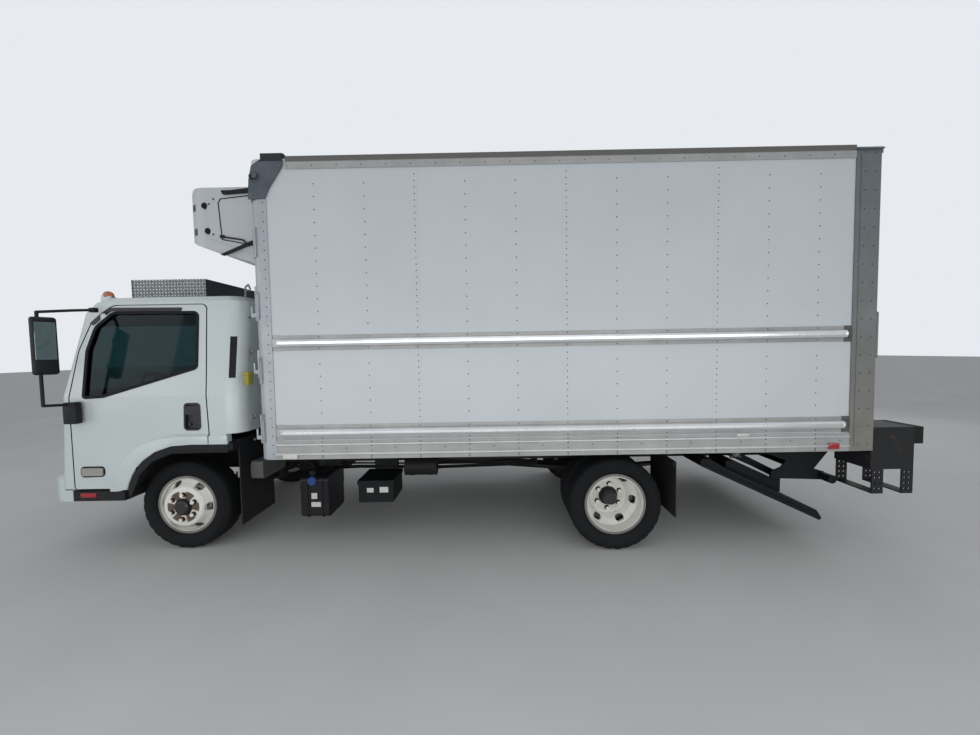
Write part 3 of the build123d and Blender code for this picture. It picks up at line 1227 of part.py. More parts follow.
def rear_steps():
    """Steel step at each rear corner with legs that carry low treads."""
    top = FLOOR_TOP
    plates = [
        box(BODY_REAR, STEP_BACK, STEP_IN, STEP_OUT, top - STEP_PLATE, top),
        box(BODY_REAR, STEP_BACK, STEP_OUT - STEP_PLATE, STEP_OUT, 705, top),
        box(BODY_REAR, STEP_BACK, STEP_IN, STEP_IN + STEP_PLATE, 705, top),
        box(STEP_BACK - STEP_PLATE, STEP_BACK, STEP_IN, STEP_OUT, 705, top),
        box(BODY_REAR, BODY_REAR + STEP_PLATE, STEP_IN, STEP_OUT, 705, top),
    ]
    for x in (BODY_REAR + 15, STEP_BACK - 95):
        for y in (STEP_OUT - STEP_PLATE, STEP_IN):
            leg = box(x, x + 95, y, y + STEP_PLATE, 500, 720)
            for row in range(LEG_HOLES):
                z = 540 + row * 46
                for along in (28, 67):
                    leg = leg - cylinder_y(x + along, z, 9, y - 1, y + STEP_PLATE + 1)
            plates.append(leg)
        plates.append(box(x, x + 95, STEP_IN, STEP_OUT, 500, 500 + STEP_PLATE))
    return both_sides(joined(plates))


def dock_bumpers():
    """Rubber blocks on the steps' rear plates."""
    return both_sides(box(STEP_BACK, STEP_BACK + DOCK_RUBBER, STEP_IN + 20, STEP_OUT - 4, 915, FLOOR_TOP))


def mud_flaps():
    """Rubber flaps behind the rear wheels, on brackets from the rails."""
    x = REAR_AXLE + 490
    flap = box(x, x + 8, 600, 1090, 300, 780)
    bracket = box(x - 20, x, RAIL_Y, 1090, 740, 780)
    return both_sides(joined([flap, bracket]))


# Tuck-under liftgate: pivot stubs on the rails, arms, folded platform
LIFT_PIVOT = (BODY_REAR - 910, 770)
LIFT_PIN = (BODY_REAR - 390, 500)
ARM_Y = 560
ARM_THICK = 40
ARM_HALF = 32
PIVOT_RADIUS = 40
PIN_RADIUS = 20
WING_Y = 780
PACK_HALF = 900


def liftgate_frame():
    """Pivot stubs on the rails, side wings under the body and the rear under-run bar."""
    x, z = LIFT_PIVOT
    plate = side_prism([(x - 90, RAIL_TOP - 20), (x + 90, RAIL_TOP - 20), (x + 60, z - 80),
                        (x - 60, z - 80)], RAIL_Y, RAIL_Y + 14)
    stub = cylinder_y(x, z, PIVOT_RADIUS, RAIL_Y, WING_Y + 50)
    collar = cylinder_y(x, z, PIVOT_RADIUS + 18, ARM_Y + ARM_THICK + RUN_GAP, ARM_Y + ARM_THICK + 15)
    end_plate = box(x - 48, x + 48, WING_Y + 36, WING_Y + 50, z - 45, z + 45)
    pivot = joined([plate, stub, collar, end_plate])
    rear = BODY_REAR - 10
    wing = side_prism([
        (rear - 675, BODY_BOTTOM), (rear - 675, 783), (rear - 413, 684), (rear - 459, 621),
        (rear - 550, 584), (rear - 550, 520), (rear - 60, 500), (rear - 60, 575), (rear - 160, 600),
        (rear, 800), (rear, BODY_BOTTOM),
    ], WING_Y, WING_Y + 14)
    bar = cylinder_y(rear - 80, 538, 38, -PACK_HALF, PACK_HALF)
    return joined([both_sides(pivot), both_sides(wing), bar])


def liftgate_arms():
    """Two lifting arms round the pivot stubs, with a bar between them and a pin at each end."""
    x0, z0 = LIFT_PIVOT
    x1, z1 = LIFT_PIN
    run = math.hypot(x1 - x0, z1 - z0)
    dx = (z0 - z1) / run * ARM_HALF
    dz = (x1 - x0) / run * ARM_HALF
    arm = side_prism([(x0 + dx, z0 + dz), (x1 + dx, z1 + dz), (x1 - dx, z1 - dz), (x0 - dx, z0 - dz)],
                     ARM_Y, ARM_Y + ARM_THICK)
    root = cylinder_y(x0, z0, PIVOT_RADIUS + 20, ARM_Y, ARM_Y + ARM_THICK)
    tip = cylinder_y(x1, z1, ARM_HALF, ARM_Y, ARM_Y + ARM_THICK)
    pin = cylinder_y(x1, z1, PIN_RADIUS, ARM_Y, ARM_Y + ARM_THICK + 45)
    bore = cylinder_y(x0, z0, PIVOT_RADIUS + BORE_GAP, ARM_Y - 1, ARM_Y + ARM_THICK + 1)
    bar = cylinder_y(x0 + 0.8 * (x1 - x0), z0 + 0.8 * (z1 - z0), 28, -ARM_Y - 1, ARM_Y + 1)
    return joined([both_sides(joined([arm, root, tip, pin]) - bore), bar])


# side outline of the folded platform as (x from the body's rear, z)
PACK_OUTLINE = ((-1272, 690), (-1250, 668), (-299, 216), (-199, 168), (-180, 190), (-226, 262), (-1010, 634),
                (-1190, 742), (-1262, 742))
# the leaf between the rails starts here, low enough to swing clear of them
PACK_SPLIT = -865


def liftgate_platform():
    """Folded platform hung on the arms' pins: a leaf each side of the rails and one under them."""
    x1, z1 = LIFT_PIN
    outline = [(BODY_REAR + x, z) for x, z in PACK_OUTLINE]
    side = side_prism(outline, RAIL_Y + 20, PACK_HALF)
    middle = side_prism(outline, -RAIL_Y - 20, RAIL_Y + 20)
    middle = middle & box(BODY_REAR + PACK_SPLIT, BODY_REAR, -PACK_HALF, PACK_HALF, 100, 900)
    groove = side_prism([(BODY_REAR - 1240, 700), (BODY_REAR - 300, 252), (BODY_REAR - 297, 258),
                         (BODY_REAR - 1237, 706)], PACK_HALF - 14, PACK_HALF + 1)
    low = ARM_Y + ARM_THICK + RUN_GAP
    ear = joined([cylinder_y(x1, z1, PIN_RADIUS + 20, low, low + 36),
                  box(x1 - 40, x1 + 40, low, low + 36, z1 - 170, z1)])
    ear = ear - cylinder_y(x1, z1, PIN_RADIUS + BORE_GAP, low - 1, low + 37)
    side = joined([side, ear]) - groove
    return Compound(children=[side, mirrored(side), middle])


def right_front(piece):
    return Pos(FRONT_AXLE, FRONT_WHEEL_Y, TYRE_RADIUS) * piece


def right_rear(piece):
    return Pos(REAR_AXLE, REAR_WHEEL_Y, TYRE_RADIUS) * piece


def write(node, shape):
    export_step(shape, os.path.join("parts", node + ".step"))


# nodes of the truck that stand once: name and the function that makes each
TRUCK = (
    ("frame_rails", frame_rails), ("crossmembers", crossmembers), ("leaf_springs", leaf_springs),
    ("front_axle", front_axle), ("rear_axle", rear_axle), ("engine_block", engine_block),
    ("driveshaft", driveshaft), ("tanks", tanks), ("battery_box", battery_box),
    ("air_cleaner", air_cleaner), ("exhaust", exhaust), ("tie_rod", tie_rod),
    ("load_floor", load_floor), ("front_wall", front_wall), ("side_walls", side_walls),
    ("roof_panel", roof_panel), ("corner_posts", corner_posts), ("corner_castings", corner_castings),
    ("body_rails", body_rails), ("rear_frame", rear_frame), ("roll_up_door", roll_up_door),
    ("refrigeration_unit", refrigeration_unit), ("unit_grille", unit_grille),
    ("rear_steps", rear_steps), ("dock_bumpers", dock_bumpers), ("mud_flaps", mud_flaps),
    ("liftgate_frame", liftgate_frame), ("liftgate_arms", liftgate_arms),
    ("liftgate_platform", liftgate_platform),
)
# nodes of the cab that stand once, made from the front axle
CAB = (
    ("cab_shell", cab_shell), ("cab_glass", cab_glass), ("cab_trim", cab_trim),
    ("front_panel", front_panel), ("grille", grille), ("lamps", lamps), ("bumper", bumper),
    ("dashboard", dashboard), ("steering_wheel", steering_wheel), ("seats", seats),
    ("fender_flares", fender_flares), ("arch_liners", arch_liners), ("roof_box", roof_box),
)
# nodes of the left-hand door, mirrored for the right
DOOR = (
    ("cab_door", cab_door), ("door_glass", door_glass), ("door_trim", door_trim), ("mirror", mirror_left),
)
# nodes at the right-hand wheels, mirrored for the left: name, maker, place and how far the right one is
# turned on its axle
WHEELS = (
    ("knuckle", knuckle, None, 0),
    ("front_tyre", tyre, right_front, 0), ("front_rim", front_rim, right_front, RIGHT_WHEEL_TURN),
    ("rear_tyres", rear_tyres, right_rear, 0), ("rear_rims", rear_rims, right_rear, RIGHT_WHEEL_TURN),
)

os.makedirs("parts", exist_ok=True)
for name, maker in TRUCK:
    write(name, maker())
for name, maker in CAB:
    write(name, Pos(FRONT_AXLE, 0, 0) * maker())
for name, maker in DOOR:
    piece = Pos(FRONT_AXLE, 0, 0) * maker()
    write(name + "_left", piece)
    write(name + "_right", mirrored(piece))
for name, maker, place, turn in WHEELS:
    piece = maker()
    turned_piece = Rot(0, turn, 0) * maker(RIGHT_LUG_RADIUS) if turn else piece
    right = place(turned_piece) if place else piece
    left = place(piece) if place else piece
    write(name + "_right", right)
    write(name + "_left", mirrored(left))
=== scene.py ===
"""Looks of a refrigerated box truck, made round its frame. Metres; X runs rearwards, Y to the right."""
import json
import math

import bmesh
import bpy
from mathutils import Matrix, Vector

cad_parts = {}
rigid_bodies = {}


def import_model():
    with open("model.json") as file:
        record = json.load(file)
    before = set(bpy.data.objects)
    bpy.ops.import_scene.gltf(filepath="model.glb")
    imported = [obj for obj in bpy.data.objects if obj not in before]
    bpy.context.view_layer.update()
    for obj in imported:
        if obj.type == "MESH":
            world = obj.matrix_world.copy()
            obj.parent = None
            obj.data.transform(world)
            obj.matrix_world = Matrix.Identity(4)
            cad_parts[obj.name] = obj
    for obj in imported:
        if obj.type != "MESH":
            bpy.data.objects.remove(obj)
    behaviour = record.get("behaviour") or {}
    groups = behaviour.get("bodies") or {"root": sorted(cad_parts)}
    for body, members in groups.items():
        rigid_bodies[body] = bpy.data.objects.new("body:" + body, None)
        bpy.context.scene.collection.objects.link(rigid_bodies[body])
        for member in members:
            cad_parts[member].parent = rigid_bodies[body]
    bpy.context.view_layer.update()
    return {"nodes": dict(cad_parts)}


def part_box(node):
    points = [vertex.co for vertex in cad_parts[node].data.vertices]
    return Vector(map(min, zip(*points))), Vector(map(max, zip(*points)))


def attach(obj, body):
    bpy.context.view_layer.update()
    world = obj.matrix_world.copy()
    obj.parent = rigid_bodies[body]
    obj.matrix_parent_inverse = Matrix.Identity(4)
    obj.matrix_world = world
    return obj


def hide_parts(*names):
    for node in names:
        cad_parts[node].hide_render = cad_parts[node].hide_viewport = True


bl_info = {
    "name": "Refrigerated Truck Looks",
    "version": (1, 0, 0),
    "blender": (4, 5, 0),
    "location": "View3D > Sidebar > Truck",
    "description": "Finishes, rivets, tread, seats, lamps and small fittings of a refrigerated box truck",
    "category": "Object",
}

for spare in list(bpy.data.objects):
    bpy.data.objects.remove(spare)
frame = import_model()
NODES = frame["nodes"]


def middle(node):
    low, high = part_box(node)
    return (low + high) / 2


# Places read from the frame
FRONT_AXLE = middle("front_tyre_left").x
REAR_AXLE = middle("rear_tyres_left").x
AXLE_HEIGHT = middle("front_tyre_left").z
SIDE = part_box("side_walls")[1].y
SIDE_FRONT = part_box("side_walls")[0].x
SIDE_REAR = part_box("side_walls")[1].x
BODY_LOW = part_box("body_rails")[0].z
BODY_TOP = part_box("body_rails")[1].z
BODY_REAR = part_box("rear_steps")[0].x
CAB_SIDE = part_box("cab_shell")[1].y
UNIT_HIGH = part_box("refrigeration_unit")[1]

# Origins that the tables of places below count from
ZERO = Vector((0, 0, 0))
AXLE = Vector((FRONT_AXLE, 0, 0))
TAIL = Vector((BODY_REAR, 0, 0))

# Sizes that the frame doesn't give
DISC_OFFSET = 0.128         # from a wheel's middle to its mounting face
RUB_RAILS = (1.092, 1.832)  # heights of the two rub rails
POST_TURN = 0.1             # radius of the front posts' corners
RIB_FACE = SIDE + 0.0165    # outer face of the bottom rail's ribs
CAST_FACE = SIDE + 0.013    # outer face of the corner castings
CAST_CAP = (-1.64, 3.283)   # x and height where the black cap of a casting begins
FLOOR_TOP = 1.03            # height above which the load floor is bare metal
MARKERS_LOW = 2.0           # height between the headlamps and the roof lamps
# Middle and half of the door's field, where the gaps get a painted shade, and how far out they start
DOOR_X, DOOR_LENGTH = FRONT_AXLE - 0.28, 0.62
DOOR_Z, DOOR_HEIGHT = 1.39, 0.812
DOOR_DEPTH = 0.86
# Middle and half of the side lamp's lens, pale with a painted reflection of its reflector
LENS_X, LENS_LENGTH = FRONT_AXLE - 0.705, 0.094
LENS_Z, LENS_HEIGHT = 0.751, 0.034


class TruckSizes(bpy.types.PropertyGroup):
    """Sizes of the small parts that a user would change."""

    rivet_radius: bpy.props.FloatProperty(
        name="Rivet radius", description="Radius of a body rivet's head", default=0.0065, unit="LENGTH")
    rivet_pitch: bpy.props.FloatProperty(
        name="Rivet pitch", description="Distance between rivets on a plain post", default=0.102,
        unit="LENGTH")
    post_pitch: bpy.props.FloatProperty(
        name="Post pitch", description="Distance between the posts in the side walls", default=0.4064,
        unit="LENGTH")
    first_post: bpy.props.FloatProperty(
        name="First post", description="First post behind the front axle", default=1.352, unit="LENGTH")
    tread_steps: bpy.props.IntProperty(
        name="Tread steps", description="Segments round a tyre", default=112, min=32)
    shoulder_cut: bpy.props.FloatProperty(
        name="Shoulder cut", description="Depth of the cuts in a tyre's shoulder", default=0.005,
        unit="LENGTH")


class TruckColours(bpy.types.PropertyGroup):
    """Colours of the main finishes."""

    cab_white: bpy.props.FloatVectorProperty(
        name="Cab white", description="Paint of the cab", subtype="COLOR", default=(0.53, 0.585, 0.585))
    panel_white: bpy.props.FloatVectorProperty(
        name="Panel white", description="Paint of the body's panels", subtype="COLOR",
        default=(0.51, 0.55, 0.575))
    frame_grey: bpy.props.FloatVectorProperty(
        name="Frame grey", description="Galvanised rear frame", subtype="COLOR",
        default=(0.235, 0.225, 0.2))
    chassis_black: bpy.props.FloatVectorProperty(
        name="Chassis black", description="Paint of rails and axles", subtype="COLOR",
        default=(0.0095, 0.0097, 0.0105))
    road_dust: bpy.props.FloatVectorProperty(
        name="Road dust", description="Dirt that settles low on the truck", subtype="COLOR",
        default=(0.19, 0.17, 0.15))
    rust_brown: bpy.props.FloatVectorProperty(
        name="Rust", description="Rust on bare and worn steel", subtype="COLOR",
        default=(0.075, 0.04, 0.025))
    marker_amber: bpy.props.FloatVectorProperty(
        name="Marker amber", description="Lens of the roof lamps", subtype="COLOR",
        default=(0.55, 0.16, 0.045))
    lamp_red: bpy.props.FloatVectorProperty(
        name="Lamp red", description="Lens of tail lamps and reflectors", subtype="COLOR",
        default=(0.42, 0.008, 0.012))
    cap_blue: bpy.props.FloatVectorProperty(
        name="Cap blue", description="Filler cap of the small tank", subtype="COLOR",
        default=(0.02, 0.06, 0.24))


def sizes():
    return bpy.context.scene.truck_sizes


def colour(name):
    return tuple(getattr(bpy.context.scene.truck_colours, name))


def tint(tone, factor):
    return tuple(part * factor for part in tone)


# Shader groups and finishes

class Value:
    """A shader socket that takes part in plain arithmetic; each sign adds a Math node."""

    def __init__(self, shade, socket):
        self.shade, self.socket = shade, socket

    def __add__(self, other):
        return self.shade.math("ADD", self, other)

    def __sub__(self, other):
        return self.shade.math("SUBTRACT", self, other)

    def __rsub__(self, other):
        return self.shade.math("SUBTRACT", other, self)

    def __mul__(self, other):
        return self.shade.math("MULTIPLY", self, other)

    def __truediv__(self, other):
        return self.shade.math("DIVIDE", self, other)

    def __pow__(self, other):
        return self.shade.math("POWER", self, other)

    def __abs__(self):
        return self.shade.math("ABSOLUTE", self)

    def __lt__(self, other):
        return self.shade.math("LESS_THAN", self, other)

    def __gt__(self, other):
        return self.shade.math("GREATER_THAN", self, other)

    def clamped(self):
        self.socket.node.use_clamp = True
        return self


class Shade:
    """A node tree with short calls for the nodes that the finishes use."""

    def __init__(self, tree):
        self.tree = tree

    def wire(self, value, socket):
        """Links a value to a socket, or writes a plain number or colour there."""
        if isinstance(value, Value):
            self.tree.links.new(value.socket, socket)
        elif socket.type == "RGBA" and len(value) == 3:
            socket.default_value = (*value, 1.0)
        else:
            socket.default_value = value

    def node(self, kind, values=(), result=0, **settings):
        """Adds a node and gives one of its outputs as a value."""
        made = self.tree.nodes.new(kind)
        for key, value in settings.items():
            setattr(made, key, value)
        for key, value in dict(values).items():
            self.wire(value, made.inputs[key])
        return Value(self, made.outputs[result])

    def math(self, operation, first, second=0.0):
        return self.node("ShaderNodeMath", {0: first, 1: second}, operation=operation)

    def larger(self, first, second):
        return self.math("MAXIMUM", first, second)

    def sine(self, value):
        return self.math("SINE", value)

    def blend(self, share, first, second):
        return self.node("ShaderNodeMix", {0: share, 6: first, 7: second}, 2, data_type="RGBA")

    def pick(self, share, first, second):
        return self.node("ShaderNodeMix", {0: share, 2: first, 3: second})

    def spread(self, value, low, high, to_low=0.0, to_high=1.0):
        """A value moved from one range to another and kept inside it."""
        return self.node("ShaderNodeMapRange", {0: value, 1: low, 2: high, 3: to_low, 4: to_high})

    def noise(self, where, scale, detail=3.0, rough=0.55):
        return self.node("ShaderNodeTexNoise",
                         {"Vector": where, "Scale": scale, "Detail": detail, "Roughness": rough})

    def stretched(self, where, amounts):
        return self.node("ShaderNodeMapping", {"Vector": where, "Scale": amounts})

    def place(self):
        return self.node("ShaderNodeTexCoord", result="Object")

    def parts(self, where):
        outputs = self.node("ShaderNodeSeparateXYZ", {0: where}).socket.node.outputs
        return [Value(self, output) for output in outputs]

    def facing(self):
        return self.parts(self.node("ShaderNodeNewGeometry", result="Normal"))

    def group(self, name, **values):
        """Places a shader group; an underscore in a key stands for a space."""
        inputs = {key.replace("_", " "): value for key, value in values.items()}
        outputs = self.node("ShaderNodeGroup", node_tree=bpy.data.node_groups[name]).socket.node.outputs
        for key, value in inputs.items():
            self.wire(value, outputs[0].node.inputs[key])
        return [Value(self, output) for output in outputs]


def new_group(name, inputs, outputs):
    """An empty shader group with float inputs and outputs: its tree, its inputs and a call that fills one."""
    tree = bpy.data.node_groups.new(name, "ShaderNodeTree")
    for label, default in inputs.items():
        socket = tree.interface.new_socket(label, in_out="INPUT", socket_type="NodeSocketFloat")
        socket.default_value = default
    for label in outputs:
        tree.interface.new_socket(label, in_out="OUTPUT", socket_type="NodeSocketFloat")
    shade = Shade(tree)
    given = tree.nodes.new("NodeGroupInput").outputs
    wanted = tree.nodes.new("NodeGroupOutput").inputs
    return (shade, {label: Value(shade, given[label]) for label in inputs},
            lambda label, value: shade.wire(value, wanted[label]))


def make_groups():
    # dirt that settles low on the truck, and streaks that run down from edges
    shade, given, put = new_group("Road film", {"Reach": 1.2, "Amount": 0.6, "Scale": 3.0},
                                  ("Film", "Streaks", "Blotches"))
    where = shade.place()
    low = (1.0 - shade.parts(where)[2] / given["Reach"]).clamped()
    patchy = shade.spread(shade.noise(where, given["Scale"], 5.0, 0.65), 0.3, 0.72)
    put("Film", (low ** 1.3 * (patchy + 0.45) * given["Amount"]).clamped())
    runs = shade.noise(shade.stretched(where, (26.0, 26.0, 0.9)), 1.0, 4.0, 0.6)
    put("Streaks", (shade.spread(runs, 0.56, 0.8) * given["Amount"]).clamped())
    put("Blotches", shade.spread(shade.noise(where, 1.3, 2.0), 0.3, 0.7))

    # small unevenness of a painted or moulded skin
    shade, given, put = new_group("Skin waves", {"Fine scale": 300.0, "Fine": 0.00005, "Broad scale": 2.0,
                                                 "Broad": 0.001}, ("Height",))
    where = shade.place()
    fine = shade.noise(where, given["Fine scale"], 2.0) * given["Fine"]
    put("Height", fine + shade.noise(where, given["Broad scale"], 2.0, 0.4) * given["Broad"])

    # rust that breaks through paint
    shade, given, put = new_group("Rust", {"Scale": 9.0, "Amount": 0.4}, ("Mask", "Tone", "Height"))
    where = shade.place()
    edge = 0.78 - given["Amount"] * 0.42
    mask = shade.spread(shade.noise(where, given["Scale"], 8.0, 0.7), edge, edge + 0.09)
    put("Mask", mask)
    put("Tone", shade.noise(where, 60.0, 4.0, 0.7))
    put("Height", mask * shade.noise(where, 140.0, 3.0))

    # fine lines of drawn or brushed metal that run along X
    shade, given, put = new_group("Drawn lines", {"Across": 90.0, "Along": 1.2}, ("Lines", "Patches"))
    where = shade.place()
    x, y, z = shade.parts(where)
    scaled = shade.node("ShaderNodeCombineXYZ", {0: x * given["Along"], 1: y * given["Across"],
                                                 2: z * given["Across"]})
    put("Lines", shade.noise(scaled, 1.0, 3.0, 0.6))
    put("Patches", shade.spread(shade.noise(where, 5.0, 5.0, 0.65), 0.3, 0.7))

    # raised bars of chequer plate, turned the other way in each next cell
    shade, given, put = new_group("Chequer bars", {"Cell": 0.021}, ("Height",))
    x, y, z = shade.parts(shade.place())
    facing = shade.facing()
    u = shade.pick(abs(facing[0]) > 0.5, x, y) / given["Cell"]
    v = shade.pick(abs(facing[2]) > 0.5, z, y) / given["Cell"]
    odd = shade.math("PINGPONG", shade.math("FLOOR", u) + shade.math("FLOOR", v), 1.0)
    du = shade.math("FRACT", u) - 0.5
    lean = (shade.math("FRACT", v) - 0.5) * (odd * 2.0 - 1.0)
    oval = ((du + lean) * 1.15) ** 2.0 + ((du - lean) * 4.2) ** 2.0
    put("Height", shade.spread(oval, 0.25, 0.55, 1.0, 0.0))

    # distance from a wheel's axle, and six spokes, for the rings of a rim
    shade, given, put = new_group("Wheel rings", {"Axle": 0.0, "Axle height": 0.4}, ("Radius", "Spokes"))
    x, y, z = shade.parts(shade.place())
    dx, dz = x - given["Axle"], z - given["Axle height"]
    put("Radius", shade.math("SQRT", dx * dx + dz * dz))
    put("Spokes", shade.math("COSINE", shade.math("ARCTAN2", dz, dx) * 6.0))

    # plain weave of seat cloth
    shade, given, put = new_group("Weave", {"Threads": 420.0}, ("Height", "Tone"))
    where = shade.place()
    x, y, z = shade.parts(where)
    put("Height", shade.sine(y * given["Threads"]) * shade.sine((x + z) * given["Threads"]))
    put("Tone", shade.spread(shade.noise(where, 35.0, 4.0), 0.3, 0.7))


class Finish(Shade):
    """A new material with a Principled shader, and calls that set or feed its sockets."""

    def __init__(self, name, **plain):
        self.material = bpy.data.materials.new(name)
        self.material.use_nodes = True
        super().__init__(self.material.node_tree)
        self.shader = next(n for n in self.tree.nodes if n.type == "BSDF_PRINCIPLED")
        for key, value in plain.items():
            self.shader.inputs[key.replace("_", " ")].default_value = value

    def feed(self, **values):
        for key, value in values.items():
            self.wire(value, self.shader.inputs[key.replace("_", " ")])

    def bump(self, height, strength=1.0):
        values = {"Height": height, "Strength": strength, "Distance": 1.0}
        self.feed(Normal=self.node("ShaderNodeBump", values))


def painted_skin(name, tone, reach, dirt, rough=0.3, coat=0.25, wave=0.0008, wave_scale=2.4, shade_door_gaps=False):
    """Paint with orange peel, broad waves, dust low down and faint runs; a painted shade in the door gaps if
    asked.
    """
    made = Finish(name, Coat_Weight=coat, Coat_Roughness=0.12)
    film, streaks, blotches = made.group("Road film", Reach=reach, Amount=dirt)
    clean = made.blend(blotches, tint(tone, 0.965), tint(tone, 1.02))
    skin = made.blend(film, made.blend(streaks * 0.35, clean, tint(tone, 0.62)), colour("road_dust"))
    if shade_door_gaps:
        x, y, z = made.parts(made.place())
        by_door = (abs(x - DOOR_X) < DOOR_LENGTH) * (abs(z - DOOR_Z) < DOOR_HEIGHT)
        gap_shade = by_door * ((abs(y) > DOOR_DEPTH) * (abs(made.facing()[1]) < 0.5))
        # near-black painted shade on the jamb faces in the door gaps
        skin = made.blend(gap_shade, skin, (0.004, 0.004, 0.0045))
    made.feed(Base_Color=skin, Roughness=made.spread(film + streaks * 0.5, 0.0, 1.0, rough, 0.75))
    made.bump(made.group("Skin waves", Fine_scale=260.0, Fine=0.00003, Broad_scale=wave_scale,
                         Broad=wave)[0])
    return made.material


def cover_plate(name):
    """Aluminium with drawn lines, dull patches and a little dirt."""
    made = Finish(name, Metallic=0.4)
    tone = (0.27, 0.315, 0.34)
    lines, patches = made.group("Drawn lines", Across=20.0)
    film = made.group("Road film", Reach=2.2, Amount=0.2, Scale=5.0)[0]
    lined = made.blend(made.spread(lines, 0.35, 0.65) * 0.3, made.blend(patches, tint(tone, 0.82), tone),
                       tint(tone, 0.7))
    made.feed(Base_Color=made.blend(film * 0.6, lined, colour("road_dust")),
              Roughness=made.spread(lines * 0.6 + patches, 0.2, 1.4, 0.56, 0.36))
    made.bump(lines * 0.0003, 0.6)
    return made.material


def rail_finish(name):
    """Bright ribs and dull flats of the body's rails, the ribs' brightness partly polish and partly a painted
    highlight; dark along the roof edge and on the cast ends.
    """
    made = Finish(name)
    x, y, z = made.parts(made.place())
    lines, patches = made.group("Drawn lines", Across=46.0, Along=1.6)
    film = made.group("Road film", Reach=2.0, Amount=0.35, Scale=5.0)[0]
    crest = made.spread(abs(y), SIDE + 0.0085, SIDE + 0.015)
    marked = (lines + patches) * 0.5
    dull = made.blend(film * 0.4, made.blend(marked, (0.27, 0.275, 0.27), (0.45, 0.455, 0.45)),
                      colour("road_dust"))
    # the crest's pale colour is partly polish from rubbing and partly a painted highlight
    base = made.blend(crest, dull, made.blend(marked, (0.72, 0.73, 0.74), (0.92, 0.93, 0.94)))
    at_ends = abs(x - (SIDE_FRONT + SIDE_REAR) / 2) > (SIDE_REAR - SIDE_FRONT) / 2 - 0.0655
    low_rail, high_rail = (abs(z - height) < 0.07 for height in RUB_RAILS)
    dark = made.larger(made.spread(z, BODY_TOP - 0.048, BODY_TOP - 0.042) * 0.9,
                       at_ends * made.larger(low_rail, high_rail))
    made.feed(Base_Color=made.blend(dark, base, (0.085, 0.08, 0.074)),
              Metallic=(crest * 0.5 + 0.3) * (1.0 - dark),
              Roughness=made.spread(crest, 0.0, 1.0, 0.5, 0.22))
    made.bump(lines * 0.0003, 0.6)
    return made.material


def rear_frame_finish(name):
    """Galvanised steel, browner low down and bluer under the roof, where a painted shade darkens it towards
    the top.
    """
    made = Finish(name, Metallic=0.3)
    height = made.parts(made.place())[2]
    lines, patches = made.group("Drawn lines", Across=12.0)
    film = made.group("Road film", Reach=2.0, Amount=0.3, Scale=5.0)[0]
    # a painted shade: the frame's own grey low down, darker and bluer towards the top
    tone = made.blend(made.spread(height, BODY_LOW, BODY_TOP), colour("frame_grey"), (0.15, 0.19, 0.215))
    mottled = made.blend(patches * 0.5, tone, (0.12, 0.12, 0.115))
    made.feed(Base_Color=made.blend(film * 0.4, mottled, colour("road_dust")),
              Roughness=made.spread(lines, 0.2, 0.8, 0.62, 0.42))
    made.bump(lines * 0.0004, 0.6)
    return made.material


def casting_finish(name):
    """Slate grey casting with a black cap on top."""
    made = Finish(name, Metallic=0.25, Roughness=0.55)
    x, y, z = made.parts(made.place())
    grain, mottle = made.group("Drawn lines", Across=30.0, Along=30.0)
    slate = made.blend(mottle, (0.068, 0.083, 0.1), (0.11, 0.13, 0.152))
    made.feed(Base_Color=made.blend((z > CAST_CAP[1]) * (x > CAST_CAP[0]), slate, (0.02, 0.024, 0.028)))
    made.bump(grain * 0.0006)
    return made.material


def post_finish(name):
    """Dull upright post with drawn lines and patches."""
    made = Finish(name, Metallic=0.35)
    lines, patches = made.group("Drawn lines", Across=20.0)
    film = made.group("Road film", Reach=2.2, Amount=0.3, Scale=5.0)[0]
    plain = made.blend(patches, (0.33, 0.36, 0.39), (0.44, 0.475, 0.5))
    made.feed(Base_Color=made.blend(film * 0.5, plain, colour("road_dust")),
              Roughness=made.spread(lines, 0.2, 0.8, 0.55, 0.38))
    made.bump(lines * 0.0003, 0.6)
    return made.material


def worn_steel(name, tone, rust, dust, rough=0.55, metal=0.0, scale=9.0):
    """Dark painted steel with rust and settled dust."""
    made = Finish(name, Metallic=metal, Specular_IOR_Level=0.22)
    mask, grain, height = made.group("Rust", Scale=scale, Amount=rust)
    film = made.group("Road film", Reach=1.15, Amount=dust, Scale=7.0)[0]
    red = colour("rust_brown")
    rusty = made.blend(grain, tint(red, 0.45), tint(red, 1.5))
    patchy = made.blend(mask, made.blend(grain, tint(tone, 0.8), tint(tone, 1.25)), rusty)
    made.feed(Base_Color=made.blend(film, patchy, tint(colour("road_dust"), 0.5)),
              Roughness=made.spread(mask + film, 0.0, 1.0, rough, 0.9))
    made.bump(height * 0.0015)
    return made.material


def moulded(name, tone, rough=0.5, grain=0.00025, dust=0.35, reach=1.6):
    """Grained plastic or rubber that greys with dust."""
    made = Finish(name, Specular_IOR_Level=0.22)
    film, streaks, blotches = made.group("Road film", Reach=reach, Amount=dust, Scale=6.0)
    base = made.blend(blotches, tint(tone, 0.85), tint(tone, 1.15))
    made.feed(Base_Color=made.blend(film, base, tint(colour("road_dust"), 0.6)),
              Roughness=made.spread(film, 0.0, 1.0, rough, 0.9))
    made.bump(made.group("Skin waves", Fine_scale=520.0, Fine=grain, Broad_scale=14.0, Broad=0.0004)[0])
    return made.material


def lens(name, tone, clear=0.35):
    """Moulded lamp lens with upright flutes."""
    made = Finish(name, Roughness=0.12, Transmission_Weight=clear, IOR=1.49, Coat_Weight=0.5,
                  Coat_Roughness=0.05)
    x, y, z = made.parts(made.place())
    flutes = made.sine((x + y) * 900.0)
    made.feed(Base_Color=made.blend(made.spread(flutes, -1.0, 1.0, 0.0, 0.35), tone, tint(tone, 0.55)))
    made.bump(flutes * 0.0003)
    return made.material


